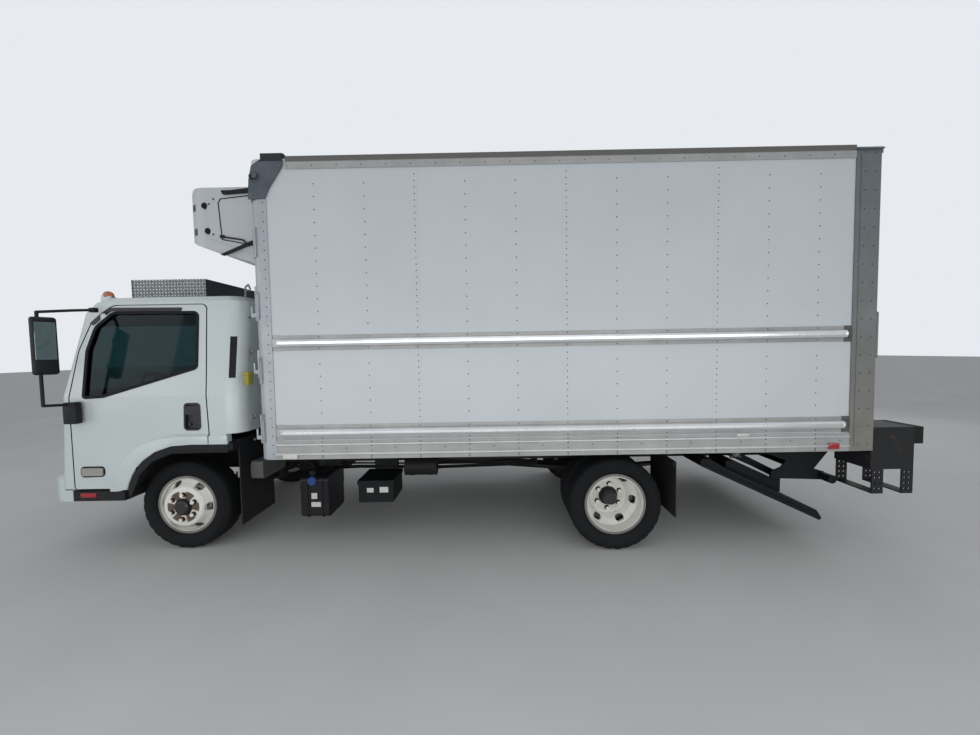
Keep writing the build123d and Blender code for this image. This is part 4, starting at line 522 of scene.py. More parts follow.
def tinted_glass(name, tone, rough=0.02):
    """Tinted glass with faint smears."""
    made = Finish(name, Transmission_Weight=1.0, IOR=1.24)
    smears = made.spread(made.noise(made.stretched(made.place(), (3.0, 3.0, 9.0)), 4.0, 5.0), 0.4, 0.75)
    made.feed(Base_Color=made.blend(smears, tone, tint(tone, 1.12)),
              Roughness=made.spread(smears, 0.0, 1.0, rough, rough + 0.05))
    return made.material


def rim_paint(name, axle, dark_hub, nut_rust):
    """White wheel with a dark hub, rust round its nuts and a grimy flange."""
    made = Finish(name, Coat_Weight=0.1)
    radius, spokes = made.group("Wheel rings", Axle=axle, Axle_height=AXLE_HEIGHT)
    mask, grain, height = made.group("Rust", Scale=26.0, Amount=0.42)
    film = made.group("Road film", Reach=0.95, Amount=0.5, Scale=9.0)[0]
    red = colour("rust_brown")
    ring = made.spread(radius, 0.066, 0.07) * made.spread(radius, 0.146, 0.139)
    nut_stain = ring * (made.spread(spokes, -0.55, 0.1) * nut_rust)
    crest = made.spread(radius, 0.158, 0.17) * made.spread(radius, 0.2, 0.185)
    spots = mask * (crest * 0.6 + 0.25)
    white = made.blend(film * 0.55, (0.78, 0.77, 0.72), colour("road_dust"))
    stained = made.blend(made.larger(nut_stain, spots).clamped(), white,
                         made.blend(grain, tint(red, 0.5), tint(red, 1.6)))
    grimy = made.blend(made.spread(radius, 0.236, 0.246) * 0.8, stained, (0.035, 0.034, 0.032))
    hub = made.spread(radius, dark_hub + 0.003, dark_hub)
    made.feed(Base_Color=made.blend(hub, grimy, (0.022, 0.02, 0.019)),
              Roughness=made.spread(made.larger(nut_stain, mask), 0.0, 1.0, 0.42, 0.85))
    made.bump(height * 0.001)
    return made.material


def headlamp_finish(name):
    """Clear fluted lens of the headlamps."""
    made = Finish(name, Roughness=0.08, Transmission_Weight=0.25, IOR=1.49, Coat_Weight=0.6,
                  Coat_Roughness=0.04)
    flutes = made.sine(made.parts(made.place())[1] * 420.0)
    made.feed(Base_Color=made.blend(made.spread(flutes, -1.0, 1.0, 0.0, 0.5), (0.62, 0.64, 0.66),
                                    (0.34, 0.36, 0.38)))
    made.bump(flutes * 0.0004)
    return made.material


def door_trim_finish(name):
    """Black trim, with the pale lens of the side lamp low on the door, its pale ribs a painted reflection of
    the reflector inside.
    """
    made = Finish(name)
    x, y, z = made.parts(made.place())
    inside = (abs(x - LENS_X) < LENS_LENGTH) * (abs(z - LENS_Z) < LENS_HEIGHT)
    pale = inside * (abs(y) > CAB_SIDE + 0.003)
    # pale and dark ribs on the lens: a painted reflection of the chrome reflector inside the lamp
    lamp_reflection = made.blend(made.spread(made.sine(x * 700.0), -1.0, 1.0), (0.42, 0.4, 0.37), (0.2, 0.19, 0.18))
    made.feed(Base_Color=made.blend(pale, (0.014, 0.014, 0.016), lamp_reflection),
              Roughness=made.spread(pale, 0.0, 1.0, 0.42, 0.12))
    made.bump(made.group("Skin waves", Fine_scale=600.0, Fine=0.0001, Broad_scale=10.0, Broad=0.0001)[0])
    return made.material


def chequer_plate(name):
    """Raised bars on bright sheet; the side towards the body is dull and has a dark painted shade."""
    made = Finish(name)
    bars = made.group("Chequer bars", Cell=0.03)[0]
    patches = made.group("Drawn lines", Across=40.0, Along=40.0)[1]
    low = made.blend(patches, (0.12, 0.135, 0.14), (0.2, 0.22, 0.23))
    # the face towards the body is painted dark, a painted shade, and made less metallic
    rear_face_shade = made.facing()[0] > 0.5
    made.feed(Base_Color=made.blend(rear_face_shade, made.blend(bars, low, (0.86, 0.89, 0.9)), (0.03, 0.042, 0.052)),
              Metallic=(1.0 - rear_face_shade) * 0.45, Roughness=made.spread(bars, 0.0, 1.0, 0.5, 0.32))
    made.bump(bars * 0.004)
    return made.material


def seat_cloth(name):
    """Woven cloth with a soft sheen."""
    made = Finish(name, Sheen_Weight=0.3, Roughness=0.9)
    height, tone = made.group("Weave")
    made.feed(Base_Color=made.blend(tone, (0.045, 0.047, 0.052), (0.085, 0.088, 0.095)))
    made.bump(height * 0.0004)
    return made.material


def mirror_face(name):
    """Dusty mirror glass."""
    made = Finish(name, Metallic=1.0)
    dust = made.spread(made.noise(made.place(), 30.0, 5.0), 0.45, 0.8)
    made.feed(Base_Color=made.blend(dust, (0.13, 0.18, 0.19), (0.1, 0.13, 0.135)),
              Roughness=made.spread(dust, 0.0, 1.0, 0.02, 0.16))
    return made.material


def load_floor_finish(name):
    """Ribbed aluminium on top of the floor and undercoated beams below."""
    made = Finish(name, Roughness=0.6)
    x, y, z = made.parts(made.place())
    above = z > FLOOR_TOP
    ribs = made.sine(y * 250.0)
    metal = made.blend(made.spread(ribs, -1.0, 1.0), (0.3, 0.31, 0.32), (0.5, 0.51, 0.52))
    coat = made.blend(made.spread(made.noise(made.place(), 6.0, 5.0), 0.35, 0.7), (0.02, 0.02, 0.021),
                      (0.03, 0.03, 0.029))
    made.feed(Base_Color=made.blend(above, coat, metal), Metallic=above * 0.9)
    made.bump(ribs * above * 0.002)
    return made.material


def make_finishes():
    """Every material of the truck, by its name."""
    make_groups()
    cab, panel = colour("cab_white"), colour("panel_white")
    black = (0.0095, 0.0105, 0.0125)
    table = (
        # name, then base colour, reach and amount of dirt, roughness, coat, wave height and scale, and
        # whether the door gaps get a painted shade
        (painted_skin, "cab_paint", cab, 1.05, 0.28, 0.28, 0.45, 0.0003, 1.6, True),
        (painted_skin, "band_paint", cab, 1.05, 0.28, 0.28, 0.45, 0.0002, 1.6),
        (painted_skin, "panel_paint", panel, 1.5, 0.12, 0.42, 0.1, 0.0022, 2.6),
        (painted_skin, "door_paint", panel, 1.9, 0.3, 0.42, 0.1, 0.0012, 2.2),
        (painted_skin, "unit_shell", (0.45, 0.475, 0.495), 3.6, 0.06, 0.4, 0.15, 0.0005, 3.0),
        (rail_finish, "rail_metal"),
        (post_finish, "post_metal"),
        (cover_plate, "cover_plate"),
        (casting_finish, "cast_metal"),
        (rear_frame_finish, "galvanised"),
        (load_floor_finish, "undercoat"),
        # name, then base colour, rust, dust, roughness, metal and scale of the rust
        # the rivet finishes are darkened partly by dirt and partly by a painted shadow round each head
        (worn_steel, "rivet_grey", (0.12, 0.125, 0.13), 0.2, 0.05, 0.5, 0.3, 60.0),
        (worn_steel, "rivet_dark", (0.045, 0.045, 0.045), 0.4, 0.05, 0.5, 0.3, 60.0),
        (worn_steel, "chassis", colour("chassis_black"), 0.25, 0.12),
        (worn_steel, "gate_steel", (0.0055, 0.0068, 0.0088), 0.25, 0.03, 0.6, 0.0, 5.0),
        (worn_steel, "step_steel", (0.016, 0.017, 0.019), 0.45, 0.1, 0.6, 0.0, 6.0),
        (worn_steel, "rusty", (0.09, 0.055, 0.04), 1.0, 0.4, 0.8, 0.1, 4.0),
        (worn_steel, "iron", (0.02, 0.019, 0.019), 0.45, 0.15, 0.65, 0.2),
        (worn_steel, "nut_steel", (0.05, 0.038, 0.03), 0.8, 0.05, 0.7, 0.3, 40.0),
        (worn_steel, "bright_bolt", (0.16, 0.165, 0.17), 0.3, 0.1, 0.4, 0.6, 30.0),
        (worn_steel, "battery_case", (0.006, 0.0075, 0.0095), 0.35, 0.03, 0.6, 0.0, 6.0),
        # name, then base colour, roughness, grain, dust and its reach
        (moulded, "tank_black", (0.008, 0.009, 0.012), 0.36, 0.0001, 0.1, 0.9),
        (moulded, "trim_black", black, 0.46),
        (moulded, "glossy_black", (0.008, 0.008, 0.009), 0.2, 0.00002, 0.15),
        (moulded, "arch_black", black, 0.62, 0.0004, 0.15, 1.3),
        (moulded, "seal_rubber", (0.0035, 0.004, 0.0045), 0.6, 0.0001, 0.0),
        (moulded, "block_rubber", (0.01, 0.0105, 0.011), 0.8, 0.001, 0.12),
        (moulded, "tyre_rubber", (0.0045, 0.0055, 0.0068), 0.8, 0.0003, 0.05, 0.85),
        (moulded, "grey_plastic", (0.12, 0.12, 0.125), 0.5, 0.0002, 0.5),
        (moulded, "dash_plastic", (0.05, 0.052, 0.056), 0.6, 0.0003, 0.0),
        (moulded, "blue_cap", colour("cap_blue"), 0.4, 0.0001, 0.2),
        (moulded, "blank_label", (0.6, 0.6, 0.57), 0.55, 0.00002, 0.15),
        (moulded, "olive_case", (0.3, 0.27, 0.05), 0.5, 0.0002, 0.2),
        (headlamp_finish, "lamp_cluster"),
        (door_trim_finish, "door_trim"),
        (lens, "amber_lens", colour("marker_amber")),
        (lens, "red_lens", colour("lamp_red"), 0.15),
        (tinted_glass, "cab_glass", (0.28, 0.38, 0.38)),
        # the door glass's dark teal is partly its tint and partly a painted shade of the cab seen through it
        (tinted_glass, "side_glass", (0.045, 0.115, 0.128)),
        (mirror_face, "mirror_face"),
        (chequer_plate, "chequer"),
        (seat_cloth, "cloth"),
        # name, then the axle's place, radius of the dark hub and rust round the nuts
        (rim_paint, "front_rim", FRONT_AXLE, 0.063, 0.95),
        (rim_paint, "rear_rim", REAR_AXLE, 0.085, 0.12),
    )
    return {row[1]: row[0](*row[1:]) for row in table}


FINISH = {}
# nodes that each finish is given to
NODE_FINISH = {
    "cab_paint": "cab_shell cab_door_left cab_door_right front_panel bumper fender_flares",
    "panel_paint": "side_walls front_wall roof_panel",
    "door_paint": "roll_up_door",
    "unit_shell": "refrigeration_unit",
    "rail_metal": "body_rails",
    "post_metal": "corner_posts",
    "cast_metal": "corner_castings",
    "galvanised": "rear_frame",
    "chassis": "frame_rails crossmembers leaf_springs driveshaft rear_axle",
    "undercoat": "load_floor",
    "iron": "front_axle knuckle_left knuckle_right tie_rod engine_block",
    "gate_steel": "liftgate_frame liftgate_arms liftgate_platform",
    "step_steel": "rear_steps",
    "rusty": "exhaust",
    "battery_case": "battery_box",
    "tank_black": "tanks",
    "grey_plastic": "air_cleaner",
    "trim_black": "grille cab_trim unit_grille steering_wheel",
    "dash_plastic": "dashboard",
    "arch_black": "arch_liners",
    "block_rubber": "dock_bumpers mud_flaps",
    "door_trim": "door_trim_left door_trim_right",
    "lamp_cluster": "lamps",
    "cab_glass": "cab_glass",
    "side_glass": "door_glass_left door_glass_right",
    "chequer": "roof_box",
    "front_rim": "front_rim_left front_rim_right",
    "rear_rim": "rear_rims_left rear_rims_right",
}


# Mesh helpers

LEFT = (0, -1, 0)
ROUND = {"profile": 0.5, "affect": "EDGES", "material": -1}


def from_axle(x, y, z):
    """A point whose x counts from the front axle."""
    return AXLE + Vector((x, y, z))


def mirror_sides(work):
    """Adds the same shapes on the other side of the truck."""
    geometry = work.verts[:] + work.edges[:] + work.faces[:]
    bmesh.ops.mirror(work, geom=geometry, matrix=Matrix.Identity(4), merge_dist=-1, axis="Y")
    bmesh.ops.recalc_face_normals(work, faces=work.faces[:])


def move_to(side, work):
    """Leaves left-hand shapes where they are, or turns them into right-hand ones."""
    if side == "right":
        bmesh.ops.transform(work, matrix=Matrix.Diagonal((1, -1, 1, 1)), verts=work.verts[:])
        bmesh.ops.reverse_faces(work, faces=work.faces[:])


def finish_piece(work, name, finish, body="truck", sharp=34.0, replaces=(), both=False):
    """Turns a bmesh into a piece that rides on a body, mirrored to the other side first if asked."""
    if both:
        mirror_sides(work)
    mesh = bpy.data.meshes.new(name)
    work.to_mesh(mesh)
    work.free()
    mesh.shade_smooth()
    mesh.set_sharp_from_angle(angle=math.radians(sharp))
    piece = bpy.data.objects.new(name, mesh)
    bpy.context.scene.collection.objects.link(piece)
    mesh.materials.append(FINISH[finish])
    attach(piece, body)
    if replaces:
        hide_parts(*replaces)
    return piece


def block(work, low, high, bevel=0.0, segments=2, turn=Matrix.Identity(4)):
    """A block between two corners with rounded edges, turned about the origin by a matrix."""
    low, high = Vector(low), Vector(high)
    place = turn @ Matrix.Translation((low + high) / 2) @ Matrix.Diagonal((*(high - low), 1))
    made = bmesh.ops.create_cube(work, size=1, matrix=place)["verts"]
    if bevel:
        edges = list({e for v in made for e in v.link_edges})
        bmesh.ops.bevel(work, geom=edges, offset=bevel, segments=segments, **ROUND)


def blocks(work, origin, rows):
    """Blocks from rows of two corners, bevel and segments, counted from an origin."""
    for low, high, *edges in rows:
        block(work, origin + Vector(low), origin + Vector(high), *edges)


def rod(work, start, end, radius, sides=16, tip=None):
    """A rod between two points, or a cone where its tip has another radius."""
    start, end = Vector(start), Vector(end)
    place = Matrix.Translation((start + end) / 2) @ (end - start).to_track_quat("Z", "Y").to_matrix().to_4x4()
    bmesh.ops.create_cone(work, cap_ends=True, segments=sides, radius1=radius,
                          radius2=radius if tip is None else tip, depth=(end - start).length, matrix=place)


def ball(work, place, scale, around, along):
    bmesh.ops.create_uvsphere(work, u_segments=around, v_segments=along, radius=1,
                              matrix=place @ Matrix.Diagonal((*scale, 1)))


def dome(work, centre, outwards, radius, height):
    """A round cap with a soft edge, standing on a surface."""
    place = Matrix.Translation(Vector(centre)) @ Vector(outwards).to_track_quat("Z", "Y").to_matrix().to_4x4()
    ball(work, place, (radius, radius, height), 20, 10)


def rivet(work, x, z, out, radius):
    """A low rivet head on the left wall, its base just inside the sheet and out from the wall's face."""
    y = -SIDE - out
    rod(work, (x, y + 0.001, z), (x, y - radius * 0.45, z), radius, 8, radius * 0.5)


def bolt(work, centre, outwards, radius, height):
    """A hexagon head on a washer."""
    centre, outwards = Vector(centre), Vector(outwards)
    rod(work, centre - outwards * 0.001, centre + outwards * height * 0.25, radius * 1.35, 16)
    rod(work, centre + outwards * height * 0.2, centre + outwards * height, radius, 6, radius * 0.92)


def tube(work, points, radius, sides=10, origin=ZERO):
    """A round bar through a few points, with a ball at each turn."""
    points = [origin + Vector(p) for p in points]
    for start, end in zip(points, points[1:]):
        rod(work, start, end, radius, sides)
    for point in points[1:-1]:
        ball(work, Matrix.Translation(point), [radius * 1.001] * 3, sides, sides // 2)


def circle(centre, radius, count, first=0.0):
    """Points on an upright circle that runs along the truck."""
    angles = [first + math.tau * number / count for number in range(count)]
    return [centre + Vector((math.cos(angle), 0, math.sin(angle))) * radius for angle in angles]


def spun(work, points, centre, axis, angle, steps, merge=False):
    """A closed section turned about an axis."""
    corners = [work.verts.new(point) for point in points]
    edges = [work.edges.new((corners[n - 1], corners[n])) for n in range(len(corners))]
    bmesh.ops.spin(work, geom=corners + edges, cent=centre, axis=axis, angle=angle, steps=steps,
                   use_merge=merge)


def extruded(work, outline, across):
    """A closed form from the corners of a face, grown along Y."""
    face = work.faces.new([work.verts.new(point) for point in outline])
    grown = bmesh.ops.extrude_face_region(work, geom=[face])["geom"]
    bmesh.ops.translate(work, verts=[v for v in grown if isinstance(v, bmesh.types.BMVert)],
                        vec=(0, across, 0))
    bmesh.ops.recalc_face_normals(work, faces=work.faces[:])


def plate(work, outline, y, thick, bevel):
    """A plate whose outer face is at a given y, with a rounded rim there."""
    extruded(work, [from_axle(x, y, z) for x, z in outline], thick)
    rim = [e for e in work.edges if all(abs(v.co.y - y) < 1e-5 for v in e.verts)]
    bmesh.ops.bevel(work, geom=rim, offset=bevel, segments=3, **ROUND)


def side_outline(work, outline, radii, y):
    """A face at a given y from (x from the axle, z) corners, each rounded by its radius."""
    corners = [work.verts.new(from_axle(x, y, z)) for x, z in outline]
    face = work.faces.new(corners)
    for number, (corner, radius) in enumerate(zip(corners, radii)):
        before = Vector(outline[number - 1]) - Vector(outline[number])
        after = Vector(outline[(number + 1) % len(outline)]) - Vector(outline[number])
        reach = radius / math.tan(max(before.angle(after), 0.2) / 2)
        reach = min(reach, before.length * 0.45, after.length * 0.45)
        bmesh.ops.bevel(work, geom=[corner], offset=reach, segments=8, **{**ROUND, "affect": "VERTICES"})
    return face if face.is_valid else max(work.faces, key=lambda f: f.calc_area())


def outline_band(work, outline, radii, y, outside, inside, thick):
    """A band that follows an outline, from outside it to inside it."""
    face = side_outline(work, outline, radii, y)
    ring = bmesh.ops.inset_individual(work, faces=[face], thickness=-outside, use_even_offset=True)["faces"]
    bmesh.ops.delete(work, geom=ring, context="FACES")
    bmesh.ops.inset_individual(work, faces=[face], thickness=outside + inside, use_even_offset=True)
    bmesh.ops.delete(work, geom=[face], context="FACES_ONLY")
    bmesh.ops.solidify(work, geom=work.faces[:], thickness=thick)
    outermost = min(v.co.y for v in work.verts)
    bmesh.ops.translate(work, verts=work.verts[:], vec=(0, y - outermost, 0))
    bmesh.ops.recalc_face_normals(work, faces=work.faces[:])


# The cab's side leans in above the belt by a share of the rise, and again above the window
LEANS = ((1.4, 0.73, 0.092 / 0.73), (2.13, 0.1, 0.35))


def lean_in(work):
    """Moves points from the plane of the cab's side on to its leaning surface."""
    for vert in work.verts:
        over = sum(min(max(vert.co.z - low, 0.0), rise) * share for low, rise, share in LEANS)
        vert.co.y += math.copysign(over, -vert.co.y)


# Outline of the raised panel on the cooling unit's side, as (x from the body's front, z)
UNIT_PANEL = ((-0.012, 2.665), (-0.33, 2.73), (-0.35, 3.035), (-0.33, 3.07), (-0.012, 3.1))
# Outlines of the left-hand window and door, as (x from the axle, z), and the radii of their corners
WINDOW = ((-0.756, 1.388), (-0.573, 1.398), (0.228, 1.632), (0.214, 2.128), (-0.54, 2.136), (-0.69, 2.01),
          (-0.752, 1.8))
WINDOW_RADII = (0.03, 0.12, 0.04, 0.05, 0.09, 0.12, 0.2)
DOOR = ((0.318, 0.982), (0.3, 1.6), (0.276, 2.19), (-0.56, 2.19), (-0.716, 2.05), (-0.812, 1.8),
        (-0.868, 1.4), (-0.868, 0.596))
DOOR_RADII = (0.01, 0.2, 0.06, 0.09, 0.12, 0.3, 0.2, 0.03)
DOOR_SEAL_LOW = 0.99        # the door's seal ends at this height
# Band over the front wheel: outer line and inner border, and the lower line of the black lip under it
BAND_OUTER = ((-0.56, 0.59), (-0.485, 0.759), (-0.396, 0.894), (-0.273, 0.98), (-0.104, 1.034),
              (0.074, 1.045))
BAND_INNER = ((-0.408, 0.592), (-0.388, 0.654), (-0.357, 0.722), (-0.311, 0.791), (-0.256, 0.846),
              (-0.149, 0.919), (-0.005, 0.967), (0.171, 0.978))
LIP_LOWER = ((-0.389, 0.512), (-0.292, 0.722), (-0.181, 0.834), (-0.011, 0.9), (0.29, 0.905))
# Heights of the cover plates on the front posts, and of the hooks between them
POST_PLATES = ((1.024, 1.245), (1.537, 1.721), (2.049, 2.254), (2.554, 2.774))
POST_HOOKS = ((0.991, 1.234), (1.55, 1.78), (2.025, 2.309))


class TRUCK_OT_finish_frame(bpy.types.Operator):
    """Gives every part of the frame its finish"""

    bl_idname = "truck.finish_frame"
    bl_label = "Finish the frame's parts"

    def execute(self, context):
        FINISH.update(make_finishes())
        for finish, names in NODE_FINISH.items():
            for name in names.split():
                for socket in NODES[name].material_slots:
                    socket.material = FINISH[finish]
        return {"FINISHED"}


class TRUCK_OT_side_rivets(bpy.types.Operator):
    """Rivets the side panels, rails, posts and rear frame"""

    bl_idname = "truck.side_rivets"
    bl_label = "Body rivets and seams"

    POSTS = 11
    # heights of the panel's fields between the rails, and of the rows on the rub rails and the bottom rail
    FIELDS = ((1.168, 1.762), (1.903, BODY_TOP - 0.11))
    RUB_ROWS = (1.0445, 1.1395, 1.7845, 1.8795)
    LOW_ROWS = (0.012, 0.026, 0.068, 0.108, 0.143)
    # roof rail, front post and rear frame: count, first x and z, step in x and z, out and share of the radius
    LINES = ((24, SIDE_FRONT + 0.24, BODY_TOP - 0.075, 0.1985, 0, 0.006, 0.9),
             (28, SIDE_FRONT + 0.03, BODY_LOW + 0.045, 0, 0.076, 0.006, 0.95),
             (17, SIDE_REAR + 0.072, BODY_LOW + 0.06, 0, 0.146, 0.008, 1),
             (17, BODY_REAR - 0.045, BODY_LOW + 0.06, 0, 0.146, 0.004, 1))

    def execute(self, context):
        radius, pitch = sizes().rivet_radius, sizes().rivet_pitch
        painted, bare, seams = bmesh.new(), bmesh.new(), bmesh.new()
        for post in range(self.POSTS):
            x = FRONT_AXLE + sizes().first_post + post * sizes().post_pitch
            dense = post % 3 == 2
            step = pitch / 2 if dense else pitch
            for low, high in self.FIELDS:
                for number in range(int((high - low - step * 0.6) / step)):
                    rivet(painted, x, low + step * (number + 0.8), 0.0012 if dense else 0, radius)
                if dense:
                    block(seams, (x - 0.03, -SIDE - 0.0014, low), (x + 0.022, -SIDE + 0.001, high))
            for z in self.RUB_ROWS:
                rivet(bare, x, z, 0.006, radius * 1.1)
            for rise in self.LOW_ROWS:
                rivet(bare, x, BODY_LOW + rise, 0.008, radius * 0.95)
            if x + 0.2 < SIDE_REAR - 0.06:
                rivet(bare, x + 0.2, BODY_LOW + 0.09, 0.008, radius * 0.95)
        for count, x, z, along, up, out, share in self.LINES:
            for number in range(count):
                rivet(bare, x + number * along, z + number * up, out, radius * share)
        # the rivets' dark finishes carry a painted shadow as well as dirt
        finish_piece(painted, "panel_rivets", "rivet_grey", sharp=50, both=True)
        finish_piece(seams, "panel_laps", "panel_paint", both=True)
        finish_piece(bare, "rail_rivets", "rivet_dark", sharp=50, both=True)
        return {"FINISHED"}


class TRUCK_OT_body_trim(bpy.types.Operator):
    """Adds reflectors, blank plates, rail flanges, post plates and hooks, and corner lamps"""

    bl_idname = "truck.body_trim"
    bl_label = "Body trim"

    def execute(self, context):
        work = bmesh.new()
        blocks(work, AXLE, (((5.517, -RIB_FACE - 0.0055, 0.889), (5.602, -RIB_FACE, 0.936), 0.0015),))
        finish_piece(work, "side_reflectors", "red_lens", both=True)

        work = bmesh.new()
        blocks(work, AXLE, (((1.026, -RIB_FACE - 0.003, 0.875), (1.146, -RIB_FACE, 0.914), 0.001),
                            ((4.775, -SIDE - 0.0085, 1.004), (4.87, -SIDE - 0.005, 1.028), 0.0005)))
        finish_piece(work, "blank_plates", "blank_label")

        work = bmesh.new()
        for centre in RUB_RAILS:
            for z in (centre - 0.047, centre + 0.047):
                block(work, (SIDE_FRONT + 0.13, -SIDE - 0.0072, z - 0.013),
                      (SIDE_REAR - 0.07, -SIDE - 0.0055, z + 0.013), 0.0005)
        finish_piece(work, "rail_flanges", "rail_metal", both=True)

        work = bmesh.new()
        hub = Vector((SIDE_FRONT, -SIDE + POST_TURN, 0))
        inner, outer = POST_TURN - 0.001, POST_TURN + 0.0035
        for low, high in POST_PLATES:
            section = ((inner, low), (outer, low), (outer, high), (inner, high))
            spun(work, [hub + Vector((0, -radius, z)) for radius, z in section], hub, (0, 0, 1), -math.pi / 2,
                 12)
        bmesh.ops.holes_fill(work, edges=[e for e in work.edges if e.is_boundary], sides=4)
        bmesh.ops.recalc_face_normals(work, faces=work.faces[:])
        finish_piece(work, "post_plates", "cover_plate", both=True)

        work = bmesh.new()
        for low, high in POST_HOOKS:
            tube(work, ((-0.01, 0, -0.02), (-0.028, 0, 0.02), (-0.052, 0, 0), (-0.056, 0, -0.09)), 0.007,
                 origin=from_axle(0.765, -1.06, high))
            for z in (low + 0.03, high - 0.03):
                bolt(work, from_axle(0.737, -1.06, z), (-1, 0, 0), 0.008, 0.01)
        finish_piece(work, "post_hooks", "bright_bolt", both=True)

        work = bmesh.new()
        blocks(work, AXLE, (((0.69, -1.112, 1.49), (0.735, -1.046, 1.592), 0.006, 3),
                            ((0.686, -1.116, 1.568), (0.739, -1.042, 1.598), 0.004, 2)))
        finish_piece(work, "hook_case", "olive_case")

        work = bmesh.new()
        for x, z in ((0.9, 3.03), (1.09, 3.24), (0.868, 3.03)):
            bolt(work, from_axle(x, -CAST_FACE, z), LEFT, 0.009, 0.006)
        finish_piece(work, "casting_bolts", "bright_bolt", both=True)

        work = bmesh.new()
        lamp = from_axle(0.872, -CAST_FACE, 3.165)
        rod(work, lamp, lamp + Vector((0, -0.014, 0)), 0.021, 24)
        dome(work, lamp + Vector((0, -0.013, 0)), LEFT, 0.017, 0.007)
        finish_piece(work, "corner_lamps", "glossy_black", both=True)
        return {"FINISHED"}


class TRUCK_OT_tyres(bpy.types.Operator):
    """Replaces the plain tyres with treaded ones"""

    bl_idname = "truck.tyres"
    bl_label = "Tyres"

    # half of a tyre's section from the middle of the tread to the bead, as (radius, distance outwards)
    HALF = ((0.4, 0.0), (0.4, 0.017), (0.39, 0.0185), (0.39, 0.0255), (0.4, 0.027), (0.3995, 0.052),
            (0.3895, 0.0535), (0.3895, 0.0605), (0.3985, 0.062), (0.3975, 0.078), (0.394, 0.088),
            (0.386, 0.096), (0.372, 0.1035), (0.356, 0.1085), (0.354, 0.111), (0.349, 0.112), (0.332, 0.113),
            (0.314, 0.1125), (0.3, 0.1085), (0.296, 0.1095), (0.29, 0.1065), (0.281, 0.097), (0.272, 0.0855),
            (0.2668, 0.0775), (0.2658, 0.0715), (0.2476, 0.0715), (0.2476, 0.056), (0.26, 0.05),
            (0.29, 0.088), (0.33, 0.1), (0.365, 0.09), (0.382, 0.06), (0.384, 0.0))
    # its rows from the first groove to the shoulder, and the first of the shoulder's rows
    ROWS = range(1, 13)
    SHOULDER = 9

    def tyre(self, work, centre, steps, cut):
        """Spins the section about the axle, then cuts the shoulders and zigzags the grooves."""
        before = set(work.verts)
        section = [centre + Vector((0, out, radius)) for radius, out in self.HALF]
        section += [centre + Vector((0, -out, radius)) for radius, out in reversed(self.HALF[1:-1])]
        spun(work, section, centre, (0, 1, 0), math.tau, steps, True)
        for vert in work.verts:
            if vert in before:
                continue
            dx, out, dz = vert.co - centre
            radius = math.hypot(dx, dz)
            station = round(math.atan2(dz, dx) / math.tau * steps) % steps
            row = next((n for n in self.ROWS if abs(self.HALF[n][0] - radius) < 1e-4
                        and abs(self.HALF[n][1] - abs(out)) < 1e-4), 0)
            if row >= self.SHOULDER and station % 4 == 3:
                scale = 1 - cut / radius
                vert.co = centre + Vector((dx * scale, out * 0.985, dz * scale))
            elif 0 < row < self.SHOULDER and station % 4 < 2:
                vert.co.y += math.copysign(0.0024, out)

    def execute(self, context):
        steps, cut = sizes().tread_steps, sizes().shoulder_cut
        for side in ("left", "right"):
            for node, body, offsets in (("front_tyre_", "front_wheel_", (0,)),
                                        ("rear_tyres_", "rear_wheels_", (-DISC_OFFSET, DISC_OFFSET))):
                work = bmesh.new()
                centre = middle(node + side)
                for offset in offsets:
                    self.tyre(work, Vector((centre.x, centre.y + offset, AXLE_HEIGHT)), steps, cut)
                bmesh.ops.recalc_face_normals(work, faces=work.faces[:])
                finish_piece(work, node.replace("tyre", "road_tyre") + side, "tyre_rubber",
                             body + side, 28, (node + side,))
        return {"FINISHED"}


class TRUCK_OT_wheel_fittings(bpy.types.Operator):
    """Adds hexagons under the wheel nuts, and hub rings"""

    bl_idname = "truck.wheel_fittings"
    bl_label = "Wheel fittings"

    NUTS, NUT_CIRCLE, FIRST_NUT = 6, 0.111125, math.radians(25)
    RIGHT_TURN = math.radians(20)

    def wheel(self, body, axle, face, sign, turn):
        centre = Vector((axle, sign * face, AXLE_HEIGHT))
        out = Vector((0, sign, 0))
        nuts = bmesh.new()
        for nut in circle(centre, self.NUT_CIRCLE, self.NUTS, self.FIRST_NUT - turn):
            rod(nuts, nut - out * 0.001, nut + out * 0.004, 0.0225, 20, 0.0205)
            rod(nuts, nut + out * 0.003, nut + out * 0.023, 0.0205, 6, 0.0195)
        finish_piece(nuts, "nuts_" + body, "nut_steel", body)

        hub = bmesh.new()
        rod(hub, centre - out * 0.001, centre + out * 0.007, 0.079, 32, 0.075)
        for place in circle(centre + out * 0.006, 0.069, 6):
            bolt(hub, place, out, 0.0055, 0.006)
        finish_piece(hub, "hub_ring_" + body, "iron", body)

    def execute(self, context):
        front = abs(middle("front_tyre_left").y) + DISC_OFFSET
        rear = abs(middle("rear_tyres_left").y) + 0.012
        for side, sign, turn in (("left", -1, 0), ("right", 1, self.RIGHT_TURN)):
            self.wheel("front_wheel_" + side, FRONT_AXLE, front, sign, turn)
            self.wheel("rear_wheels_" + side, REAR_AXLE, rear, sign, turn)
        return {"FINISHED"}


class TRUCK_OT_glass_seals(bpy.types.Operator):
    """Adds the rubber round the door windows and the door edges"""

    bl_idname = "truck.glass_seals"
    bl_label = "Seals"

    def execute(self, context):
        for side in ("left", "right"):
            work, edge = bmesh.new(), bmesh.new()
            outline_band(work, WINDOW, WINDOW_RADII, -CAB_SIDE - 0.003, 0.005, 0.02, 0.012)
            outline_band(edge, DOOR, DOOR_RADII, -CAB_SIDE + 0.003, 0.0012, 0.0, 0.04)
            low = [f for f in edge.faces if f.calc_center_median().z < DOOR_SEAL_LOW]
            bmesh.ops.delete(edge, geom=low, context="FACES")
            for part, name in ((work, "window_seal_"), (edge, "door_seal_")):
                lean_in(part)
                move_to(side, part)
                finish_piece(part, name + side, "seal_rubber", "cab_door_" + side)
        return {"FINISHED"}


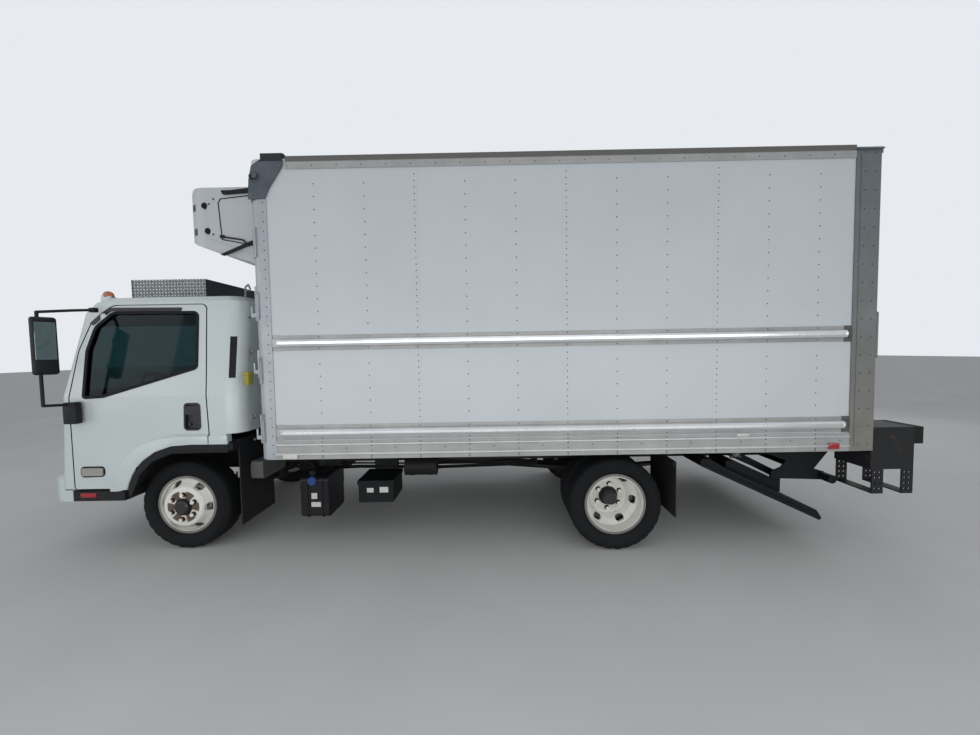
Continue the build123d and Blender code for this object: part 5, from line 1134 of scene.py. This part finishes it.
class TRUCK_OT_mirrors(bpy.types.Operator):
    """Replaces the mirrors with rounded heads on bent tube arms"""

    bl_idname = "truck.mirrors"
    bl_label = "Mirrors"

    def execute(self, context):
        for side, sign in (("left", -1), ("right", 1)):
            body = "cab_door_" + side
            head = from_axle(-0.785, sign * 1.25, 0)
            swing = Matrix.Translation(head) @ Matrix.Rotation(sign * math.radians(22), 4, "Z")
            work = bmesh.new()
            block(work, (-0.024, -0.071, 1.609), (0.024, 0.071, 2.069), 0.02, 4, swing)
            block(work, (0.0, -0.068, 1.618), (0.031, 0.068, 2.06), 0.012, 3, swing)
            tube(work, [(x, sign * y, z) for x, y, z in (
                (-0.645, 1.0, 2.149), (-0.72, 1.1, 2.135), (-0.835, 1.245, 2.11), (-0.835, 1.245, 1.36),
                (-0.82, 1.13, 1.35), (-0.795, 1.068, 1.35))], 0.0115, 12, AXLE)
            # the foot, two clamps on the bar and the upper foot: middle in y, its reach each way, x and z
            for y, reach, x, z, bevel, segments in (
                    (1.08, 0.03, (-0.85, -0.74), (1.182, 1.366), 0.012, 3),
                    (1.245, 0.018, (-0.851, -0.805), (1.7, 1.74), 0.005, 2),
                    (1.245, 0.018, (-0.851, -0.805), (1.95, 1.99), 0.005, 2),
                    (0.999, 0.02, (-0.67, -0.62), (2.128, 2.168), 0.006, 2)):
                block(work, from_axle(x[0], sign * y - reach, z[0]), from_axle(x[1], sign * y + reach, z[1]),
                      bevel, segments)
            finish_piece(work, "mirror_arms_" + side, "trim_black", body,
                         replaces=("mirror_" + side,))
            face = bmesh.new()
            block(face, (0.029, -0.058, 1.73), (0.0335, 0.058, 2.027), 0.002, 1, swing)
            finish_piece(face, "mirror_glass_" + side, "mirror_face", body)
        return {"FINISHED"}


class TRUCK_OT_cab_trim(bpy.types.Operator):
    """Adds headlamps, roof and step lamps, wipers and the treads of the steps"""

    bl_idname = "truck.cab_trim"
    bl_label = "Cab trim"

    def execute(self, context):
        lamps = NODES["lamps"]
        work = bmesh.new()
        work.from_mesh(lamps.data)
        bmesh.ops.transform(work, matrix=lamps.matrix_world, verts=work.verts[:])
        bmesh.ops.delete(work, geom=[v for v in work.verts if v.co.z > MARKERS_LOW], context="VERTS")
        finish_piece(work, "headlamps", "lamp_cluster", replaces=("lamps",))

        work, feet = bmesh.new(), bmesh.new()
        for y in (-0.7, 0.7):
            place = Matrix.Translation(from_axle(-0.82, y, 2.318)) @ Matrix.Rotation(math.radians(5), 4, "Y")
            ball(work, place, (0.05, 0.03, 0.042), 28, 16)
            block(feet, (-0.046, -0.027, -0.06), (0.046, 0.027, -0.004), 0.004, 2, place)
        finish_piece(work, "roof_markers", "amber_lens", replaces=("lamps",))
        finish_piece(feet, "marker_feet", "band_paint", replaces=("lamps",))

        work = bmesh.new()
        blocks(work, AXLE, (((-0.835, -CAB_SIDE + 0.003, 0.522), (-0.7, -CAB_SIDE + 0.012, 0.56), 0.003),))
        finish_piece(work, "step_lamps", "red_lens", both=True)

        work = bmesh.new()
        for y in (-0.36, 0.26):
            foot = from_axle(-1.118, y, 1.432)
            tube(work, (ZERO, (0.0, 0.16, 0.05), (0.028, 0.25, 0.154)), 0.006, 8, foot)
            blocks(work, foot, (((-0.02, -0.022, -0.022), (0.02, 0.022, 0.02), 0.008, 3),))
        finish_piece(work, "wiper_arms", "trim_black")

        work = bmesh.new()
        side = from_axle(0, -CAB_SIDE, 0)
        blocks(work, side, [((-0.895, 0.012, 0.515 + number * 0.008), (-0.46, 0.016, 0.518 + number * 0.008))
                            for number in range(9)])
        blocks(work, side, [((x, 0.02, 0.575), (x + 0.05, 0.3, 0.58), 0.002)
                            for x in (-0.86, -0.76, -0.66, -0.56, -0.49)])
        finish_piece(work, "step_treads", "arch_black", both=True)
        return {"FINISHED"}


class TRUCK_OT_arch_bands(bpy.types.Operator):
    """Adds the white band and the black lip over each front wheel"""

    bl_idname = "truck.arch_bands"
    bl_label = "Wheel arch bands"

    def execute(self, context):
        door_part = (*BAND_OUTER, (0.314, 1.05), (0.314, 0.977), *BAND_INNER[::-1])
        post_part = ((0.322, 1.05), (0.483, 1.054), (0.483, 0.977), (0.322, 0.977))
        lip = (*((x + 0.004, z - 0.004) for x, z in BAND_INNER), (0.483, 0.973), (0.483, 0.905),
               *LIP_LOWER[::-1])
        band = (-1.049, 0.019, 0.005)
        for side in ("left", "right"):
            for outline, form, name, finish, slot, body in (
                    (door_part, band, "door_band_", "band_paint", "white_paint", "cab_door_" + side),
                    (post_part, band, "post_band_", "band_paint", "white_paint", "truck"),
                    (lip, (-1.042, 0.009, 0.002), "arch_lip_", "arch_black", "black_plastic", "truck")):
                work = bmesh.new()
                plate(work, outline, *form)
                move_to(side, work)
                finish_piece(work, name + side, finish, body, 40)
        return {"FINISHED"}


class TRUCK_OT_seats(bpy.types.Operator):
    """Replaces the plain seats with crowned cushions, backs and head rests"""

    bl_idname = "truck.seats"
    bl_label = "Seats"

    def cushion(self, name, low, high, turn, crown):
        """A soft block: its faces swell in the middle and its rims stay."""
        low, high = Vector(low), Vector(high)
        centre, half = (low + high) / 2, (high - low) / 2
        work = bmesh.new()
        bmesh.ops.create_cube(work, size=2)
        bmesh.ops.subdivide_edges(work, edges=work.edges[:], cuts=5, use_grid_fill=True)
        for vert in work.verts:
            swell = [math.cos(value * math.pi / 2) for value in vert.co]
            across = Vector((swell[1] * swell[2], swell[0] * swell[2], swell[0] * swell[1]))
            for axis in range(3):
                if abs(vert.co[axis]) > 0.99:
                    vert.co[axis] *= 1 + crown / half[axis] * across[axis] - 0.03
            if abs(abs(vert.co.y) - 0.333) < 0.05 and abs(vert.co.z) > 0.9:
                vert.co.z *= 1 - 0.006 / half.y
        bmesh.ops.bevel(work, geom=[e for e in work.edges if e.calc_face_angle(0) > 0.9], offset=0.12,
                        segments=2, **ROUND)
        place = turn @ Matrix.Translation(centre) @ Matrix.Diagonal((*half, 1))
        bmesh.ops.transform(work, matrix=place, verts=work.verts[:])
        piece = finish_piece(work, name, "cloth", sharp=80, replaces=("seats",))
        smoother = piece.modifiers.new("Soft", "SUBSURF")
        smoother.levels = smoother.render_levels = 1

    def execute(self, context):
        # name, middle in y, half of the cushions' width, and the head rests' offsets
        for name, y, half, rests in (("driver", -0.56, 0.23, {"b": 0.0}),
                                     ("mate", 0.42, 0.41, {"a": -0.2, "c": 0.2})):
            floor = from_axle(0, y, 1.126)
            hinge = Matrix.Translation(from_axle(0.37, 0, 1.266))
            lean = hinge @ Matrix.Rotation(math.radians(7), 4, "Y") @ hinge.inverted()
            self.cushion(name + "_cushion", floor + Vector((0.03, -half, 0.03)),
                         floor + Vector((0.4, half, 0.17)), Matrix.Identity(4), 0.012)
            self.cushion(name + "_back", floor + Vector((0.34, -half, 0.17)),
                         floor + Vector((0.45, half, 0.6)), lean, 0.01)
            for letter, offset in rests.items():
                self.cushion(f"{name}_head_rest_{letter}", floor + Vector((0.36, offset - 0.12, 0.62)),
                             floor + Vector((0.43, offset + 0.12, 0.75)), lean, 0.006)
        return {"FINISHED"}


class TRUCK_OT_cooling_unit(bpy.types.Operator):
    """Adds panel lines, screws, the dark holes and slot, black as a painted shade in the openings, and the
    side bars of the cooling unit
    """

    bl_idname = "truck.cooling_unit"
    bl_label = "Cooling unit"

    def execute(self, context):
        half = UNIT_HIGH.y
        work = bmesh.new()
        # black discs in the two round holes: a painted shade in place of their depth
        for x, z in ((-2.22, 3.017), (-2.201, 2.804)):
            rod(work, (x, -half - 0.001, z), (x, -half + 0.03, z), 0.026, 24)
        line = [(UNIT_HIGH.x + x, -half - 0.0005, z) for x, z in UNIT_PANEL]
        for ends in zip(line, line[1:] + line[:1]):
            tube(work, ends, 0.0045, 6)
        # the black strip stands for a slot: a painted shade in the opening
        block(work, (-2.07, -half - 0.004, 3.122), (-1.86, -half + 0.05, 3.142), 0.003, 2)
        finish_piece(work, "unit_slots", "seal_rubber", both=True)

        work = bmesh.new()
        for x, z in ((-0.505, 2.775), (-0.53, 3.03), (-0.49, 3.07), (-0.16, 2.65), (-0.16, 3.09)):
            bolt(work, (SIDE_FRONT + x, -half - 0.0005, z), LEFT, 0.007, 0.004)
        finish_piece(work, "unit_screws", "bright_bolt", both=True)

        work = bmesh.new()
        y = -half - 0.012
        tube(work, ((-2.074, y, 2.75), (-1.893, y - 0.004, 2.719), (-1.843, y, 2.668)), 0.007, 8)
        block(work, (-2.09, y - 0.006, 2.738), (-2.05, y + 0.008, 2.764), 0.005, 2)
        finish_piece(work, "unit_latches", "trim_black", both=True)
        return {"FINISHED"}


class TRUCK_OT_roof_box_trim(bpy.types.Operator):
    """Adds the edges of the roof box"""

    bl_idname = "truck.roof_box_trim"
    bl_label = "Roof box trim"

    def execute(self, context):
        low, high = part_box("roof_box")
        work = bmesh.new()
        for x in (low.x - 0.001, high.x + 0.001):
            for y in (low.y, high.y):
                block(work, (x - 0.005, y - 0.003, low.z + 0.002), (x + 0.005, y + 0.003, high.z - 0.002),
                      0.002, 1)
        finish_piece(work, "roof_box_edges", "chequer")
        return {"FINISHED"}


class TRUCK_OT_underbody(bpy.types.Operator):
    """Adds a filler cap, blank labels, bolts, pipes and a reservoir under the body"""

    bl_idname = "truck.underbody"
    bl_label = "Underbody fittings"

    def execute(self, context):
        work = bmesh.new()
        centre = from_axle(1.094, -0.83, 0.572)
        rod(work, centre + Vector((0, 0.02, 0.0)), centre + Vector((0, -0.014, 0.0)), 0.038, 28)
        for place in circle(centre, 0.037, 14):
            rod(work, place, place + Vector((0, -0.013, 0)), 0.0045, 8)
        finish_piece(work, "small_tank_cap", "blue_cap")

        work = bmesh.new()
        blocks(work, AXLE, (((1.083, -0.8385, 0.405), (1.137, -0.8365, 0.46), 0.0008, 1),
                            ((1.08, -0.8385, 0.33), (1.168, -0.8365, 0.376), 0.0008, 1),
                            ((1.588, -0.8135, 0.448), (1.65, -0.811, 0.49), 0.0008, 1),
                            ((1.706, -0.8135, 0.446), (1.786, -0.811, 0.498), 0.0008, 1)))
        finish_piece(work, "blank_labels", "blank_label")

        work = bmesh.new()
        for axle, height in ((FRONT_AXLE, 0.455), (REAR_AXLE, 0.53)):
            for x in (axle - 0.06, axle + 0.06):
                for y in (-0.355, -0.432):
                    rod(work, (x, y, height - 0.12), (x, y, height + 0.06), 0.008, 10)
        for x in (0.2, 0.62, 1.3, 1.9, 2.3, 2.9, 4.6, 5.0):
            for z in (0.66, 0.79):
                bolt(work, from_axle(x, -0.4255, z), LEFT, 0.011, 0.01)
        finish_piece(work, "frame_bolts", "iron", both=True)

        work = bmesh.new()
        for drop, y in ((0.0, -0.452), (0.022, -0.47), (0.045, -0.448), (0.03, -0.444)):
            tube(work, [(x, y, z - drop) for x, z in
                        ((0.72, 0.63), (1.0, 0.605), (1.4, 0.618), (2.2, 0.6), (3.2, 0.625))], 0.009,
                 10, AXLE)
        tube(work, ((0.64, -0.5, 0.76), (0.84, -0.48, 0.7), (0.98, -0.5, 0.58)), 0.016, 10, AXLE)
        tube(work, ((0.36, -0.455, 0.62), (0.42, -0.6, 0.56), (0.56, -0.62, 0.6)), 0.009, 8, AXLE)
        finish_piece(work, "under_pipes", "seal_rubber")

        work = bmesh.new()
        for start, end, radius in ((1.9, 2.21, 0.088), (1.95, 1.98, 0.091), (2.13, 2.16, 0.091)):
            rod(work, from_axle(start, -0.58, 0.62), from_axle(end, -0.58, 0.62), radius, 32)
        for x in (1.95, 2.13):
            block(work, from_axle(x, -0.59, 0.69), from_axle(x + 0.03, -0.42, 0.77), 0.003)
        finish_piece(work, "air_reservoir", "chassis")
        return {"FINISHED"}


class TRUCK_OT_tail_fittings(bpy.types.Operator):
    """Adds tail lamps, door fittings, grab handles, the folded leaf and the liftgate's pivot bolts"""

    bl_idname = "truck.tail_fittings"
    bl_label = "Tail fittings"

    def execute(self, context):
        lamps, rings = bmesh.new(), bmesh.new()
        for y in (-0.22, 0.0, 0.22, -1.02, 1.02):
            blocks(lamps, TAIL, (((-0.001, y - 0.045, 3.19), (0.009, y + 0.045, 3.215), 0.004),))
        for y in (-1.085, 1.085):
            for z in (1.3, 1.44):
                rod(rings, (BODY_REAR - 0.001, y, z), (BODY_REAR + 0.006, y, z), 0.052, 28)
                dome(lamps, (BODY_REAR + 0.005, y, z), (1, 0, 0), 0.044, 0.008)
        finish_piece(lamps, "tail_lamps", "red_lens")
        finish_piece(rings, "tail_lamp_seats", "seal_rubber")

        work = bmesh.new()
        door = Vector((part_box("roll_up_door")[1].x, 0, 0))
        for y in (-0.95, 0.95):
            for number in range(8):
                z = 1.1 + number * 0.28
                blocks(work, door, (((-0.0265, y - 0.03, z), (-0.018, y + 0.03, z + 0.07), 0.002),))
                bolt(work, door + Vector((-0.018, y, z + 0.035)), (1, 0, 0), 0.008, 0.008)
        blocks(work, door, (((-0.027, -0.16, 1.3), (-0.012, 0.16, 1.4), 0.004),))
        tube(work, ((-0.014, -0.12, 1.35), (0.02, -0.1, 1.35), (0.02, 0.1, 1.35), (-0.014, 0.12, 1.35)),
             0.009, 10, door)
        for y in (-1.09, 1.09):
            tube(work, ((-0.002, y, 1.62), (0.06, y, 1.64), (0.06, y, 2.0), (-0.002, y, 2.02)), 0.011, 10,
                 TAIL)
        finish_piece(work, "door_fittings", "bright_bolt")

        work = bmesh.new()
        line = ((-0.94, 0.595), (-0.94, 0.665), (-0.86, 0.672), (-0.44, 0.472), (-0.43, 0.356))
        for low in (-0.73, 0.46):
            extruded(work, [TAIL + Vector((x, low, z)) for x, z in line], 0.27)
        bmesh.ops.bevel(work, geom=work.edges[:], offset=0.004, segments=2, **ROUND)
        finish_piece(work, "folded_leaf", "gate_steel", "liftgate_platform")

        work = bmesh.new()
        blocks(work, TAIL, (((0.001, -0.155, 0.9), (0.004, 0.155, 1.05), 0.002, 1),))
        finish_piece(work, "blank_number_plate", "blank_label")

        work = bmesh.new()
        for sign in (-1, 1):
            pivot = TAIL + Vector((-0.91, sign * 0.8, 0.77))
            bolt(work, pivot + Vector((0, sign * 0.031, 0)), (0, sign, 0), 0.024, 0.018)
            for x in (-0.038, 0.038):
                for z in (-0.033, 0.033):
                    bolt(work, pivot + Vector((x, sign * 0.0302, z)), (0, sign, 0), 0.006, 0.006)
        finish_piece(work, "gate_pivot_bolts", "bright_bolt")
        return {"FINISHED"}


class TRUCK_OT_stage(bpy.types.Operator):
    """Adds the floor, the light and the camera"""

    bl_idname = "truck.stage"
    bl_label = "Stage"

    # soft lamps: name, place, aim, size, watts
    LAMPS = (("overhead", (0.5, -2.0, 8.5), (0, 0, 1.5), (9.0, 9.0), 110.0),
             ("side_strip", (0.3, -4.9, 1.3), (0.3, 0, 1.05), (10.0, 1.6), 105.0),
             ("front_fill", (-9.0, -4.5, 3.0), (-2.5, 0, 1.4), (5.0, 5.0), 75.0),
             ("rear_fill", (8.0, 6.0, 5.0), (2.0, 0, 1.6), (5.0, 5.0), 90.0))
    # the camera's place from the axle, turns in radians, and focal length and width in pixels
    EYE = (2.767, -4.139, 1.743)
    TURNS = (-0.0057, 0.04618, -0.01692)
    FOCAL, WIDTH = 365.504, 980

    def execute(self, context):
        scene = context.scene
        scene.view_settings.view_transform = "Standard"
        work = bmesh.new()
        bmesh.ops.create_grid(work, x_segments=1, y_segments=1, size=60)
        mesh = bpy.data.meshes.new("floor")
        work.to_mesh(mesh)
        work.free()
        floor = bpy.data.objects.new("floor", mesh)
        scene.collection.objects.link(floor)
        pale = Finish("floor_paint", Roughness=0.9)
        pale.feed(Base_Color=pale.blend(pale.spread(pale.noise(pale.place(), 0.7, 3.0), 0.3, 0.7),
                                        (0.44, 0.445, 0.44), (0.48, 0.485, 0.48)))
        mesh.materials.append(pale.material)

        world = scene.world = bpy.data.worlds.new("soft_sky")
        world.use_nodes = True
        sky = Shade(world.node_tree)
        given = {node.type: node for node in world.node_tree.nodes}
        light = given["BACKGROUND"]
        light.inputs["Color"].default_value = (0.93, 0.96, 1.0, 1.0)
        light.inputs["Strength"].default_value = 0.56
        seen = sky.node("ShaderNodeBackground", {"Color": (0.8, 0.83, 0.87), "Strength": 1.0})
        to_camera = sky.node("ShaderNodeLightPath", result="Is Camera Ray")
        chosen = sky.node("ShaderNodeMixShader", {0: to_camera, 1: Value(sky, light.outputs[0]), 2: seen})
        sky.wire(chosen, given["OUTPUT_WORLD"].inputs["Surface"])

        for name, spot, aim, size, watts in self.LAMPS:
            lamp = bpy.data.lights.new(name, "AREA")
            lamp.shape = "RECTANGLE"
            lamp.size, lamp.size_y = size
            lamp.energy = watts
            holder = bpy.data.objects.new(name, lamp)
            holder.location = spot
            holder.rotation_euler = (Vector(aim) - Vector(spot)).to_track_quat("-Z", "Y").to_euler()
            holder.visible_camera = False
            scene.collection.objects.link(holder)

        yaw, pitch, roll = self.TURNS
        forward = Vector((math.sin(yaw) * math.cos(pitch), math.cos(yaw) * math.cos(pitch), -math.sin(pitch)))
        right = Vector((math.cos(yaw), -math.sin(yaw), 0))
        up = right.cross(forward)
        across = math.cos(roll) * right + math.sin(roll) * up
        over = -math.sin(roll) * right + math.cos(roll) * up
        camera = bpy.data.cameras.new("camera")
        camera.lens = 36 * self.FOCAL / self.WIDTH
        holder = bpy.data.objects.new("camera", camera)
        holder.matrix_world = Matrix.Translation(from_axle(*self.EYE)) @ Matrix(
            (across, over, -forward)).transposed().to_4x4()
        scene.collection.objects.link(holder)
        scene.camera = holder
        return {"FINISHED"}


OPERATORS = (TRUCK_OT_finish_frame, TRUCK_OT_side_rivets, TRUCK_OT_body_trim, TRUCK_OT_tyres,
             TRUCK_OT_wheel_fittings, TRUCK_OT_glass_seals, TRUCK_OT_mirrors, TRUCK_OT_cab_trim,
             TRUCK_OT_arch_bands, TRUCK_OT_seats, TRUCK_OT_cooling_unit, TRUCK_OT_roof_box_trim,
             TRUCK_OT_underbody, TRUCK_OT_tail_fittings, TRUCK_OT_stage)


class TRUCK_PT_looks(bpy.types.Panel):
    """Lists the truck's sizes, colours and makers"""

    bl_idname = "TRUCK_PT_looks"
    bl_label = "Refrigerated truck"
    bl_space_type = "VIEW_3D"
    bl_region_type = "UI"
    bl_category = "Truck"

    def draw(self, context):
        layout = self.layout
        for group in (context.scene.truck_sizes, context.scene.truck_colours):
            for key in group.__annotations__:
                layout.prop(group, key)
        for operator in OPERATORS:
            layout.operator(operator.bl_idname)


CLASSES = (TruckSizes, TruckColours) + OPERATORS + (TRUCK_PT_looks,)


def register():
    for item in CLASSES:
        bpy.utils.register_class(item)
    bpy.types.Scene.truck_sizes = bpy.props.PointerProperty(type=TruckSizes)
    bpy.types.Scene.truck_colours = bpy.props.PointerProperty(type=TruckColours)


def unregister():
    del bpy.types.Scene.truck_colours
    del bpy.types.Scene.truck_sizes
    for item in reversed(CLASSES):
        bpy.utils.unregister_class(item)


def main():
    register()
    for operator in OPERATORS:
        group, name = operator.bl_idname.split(".")
        getattr(getattr(bpy.ops, group), name)()


if __name__ == "__main__":
    main()
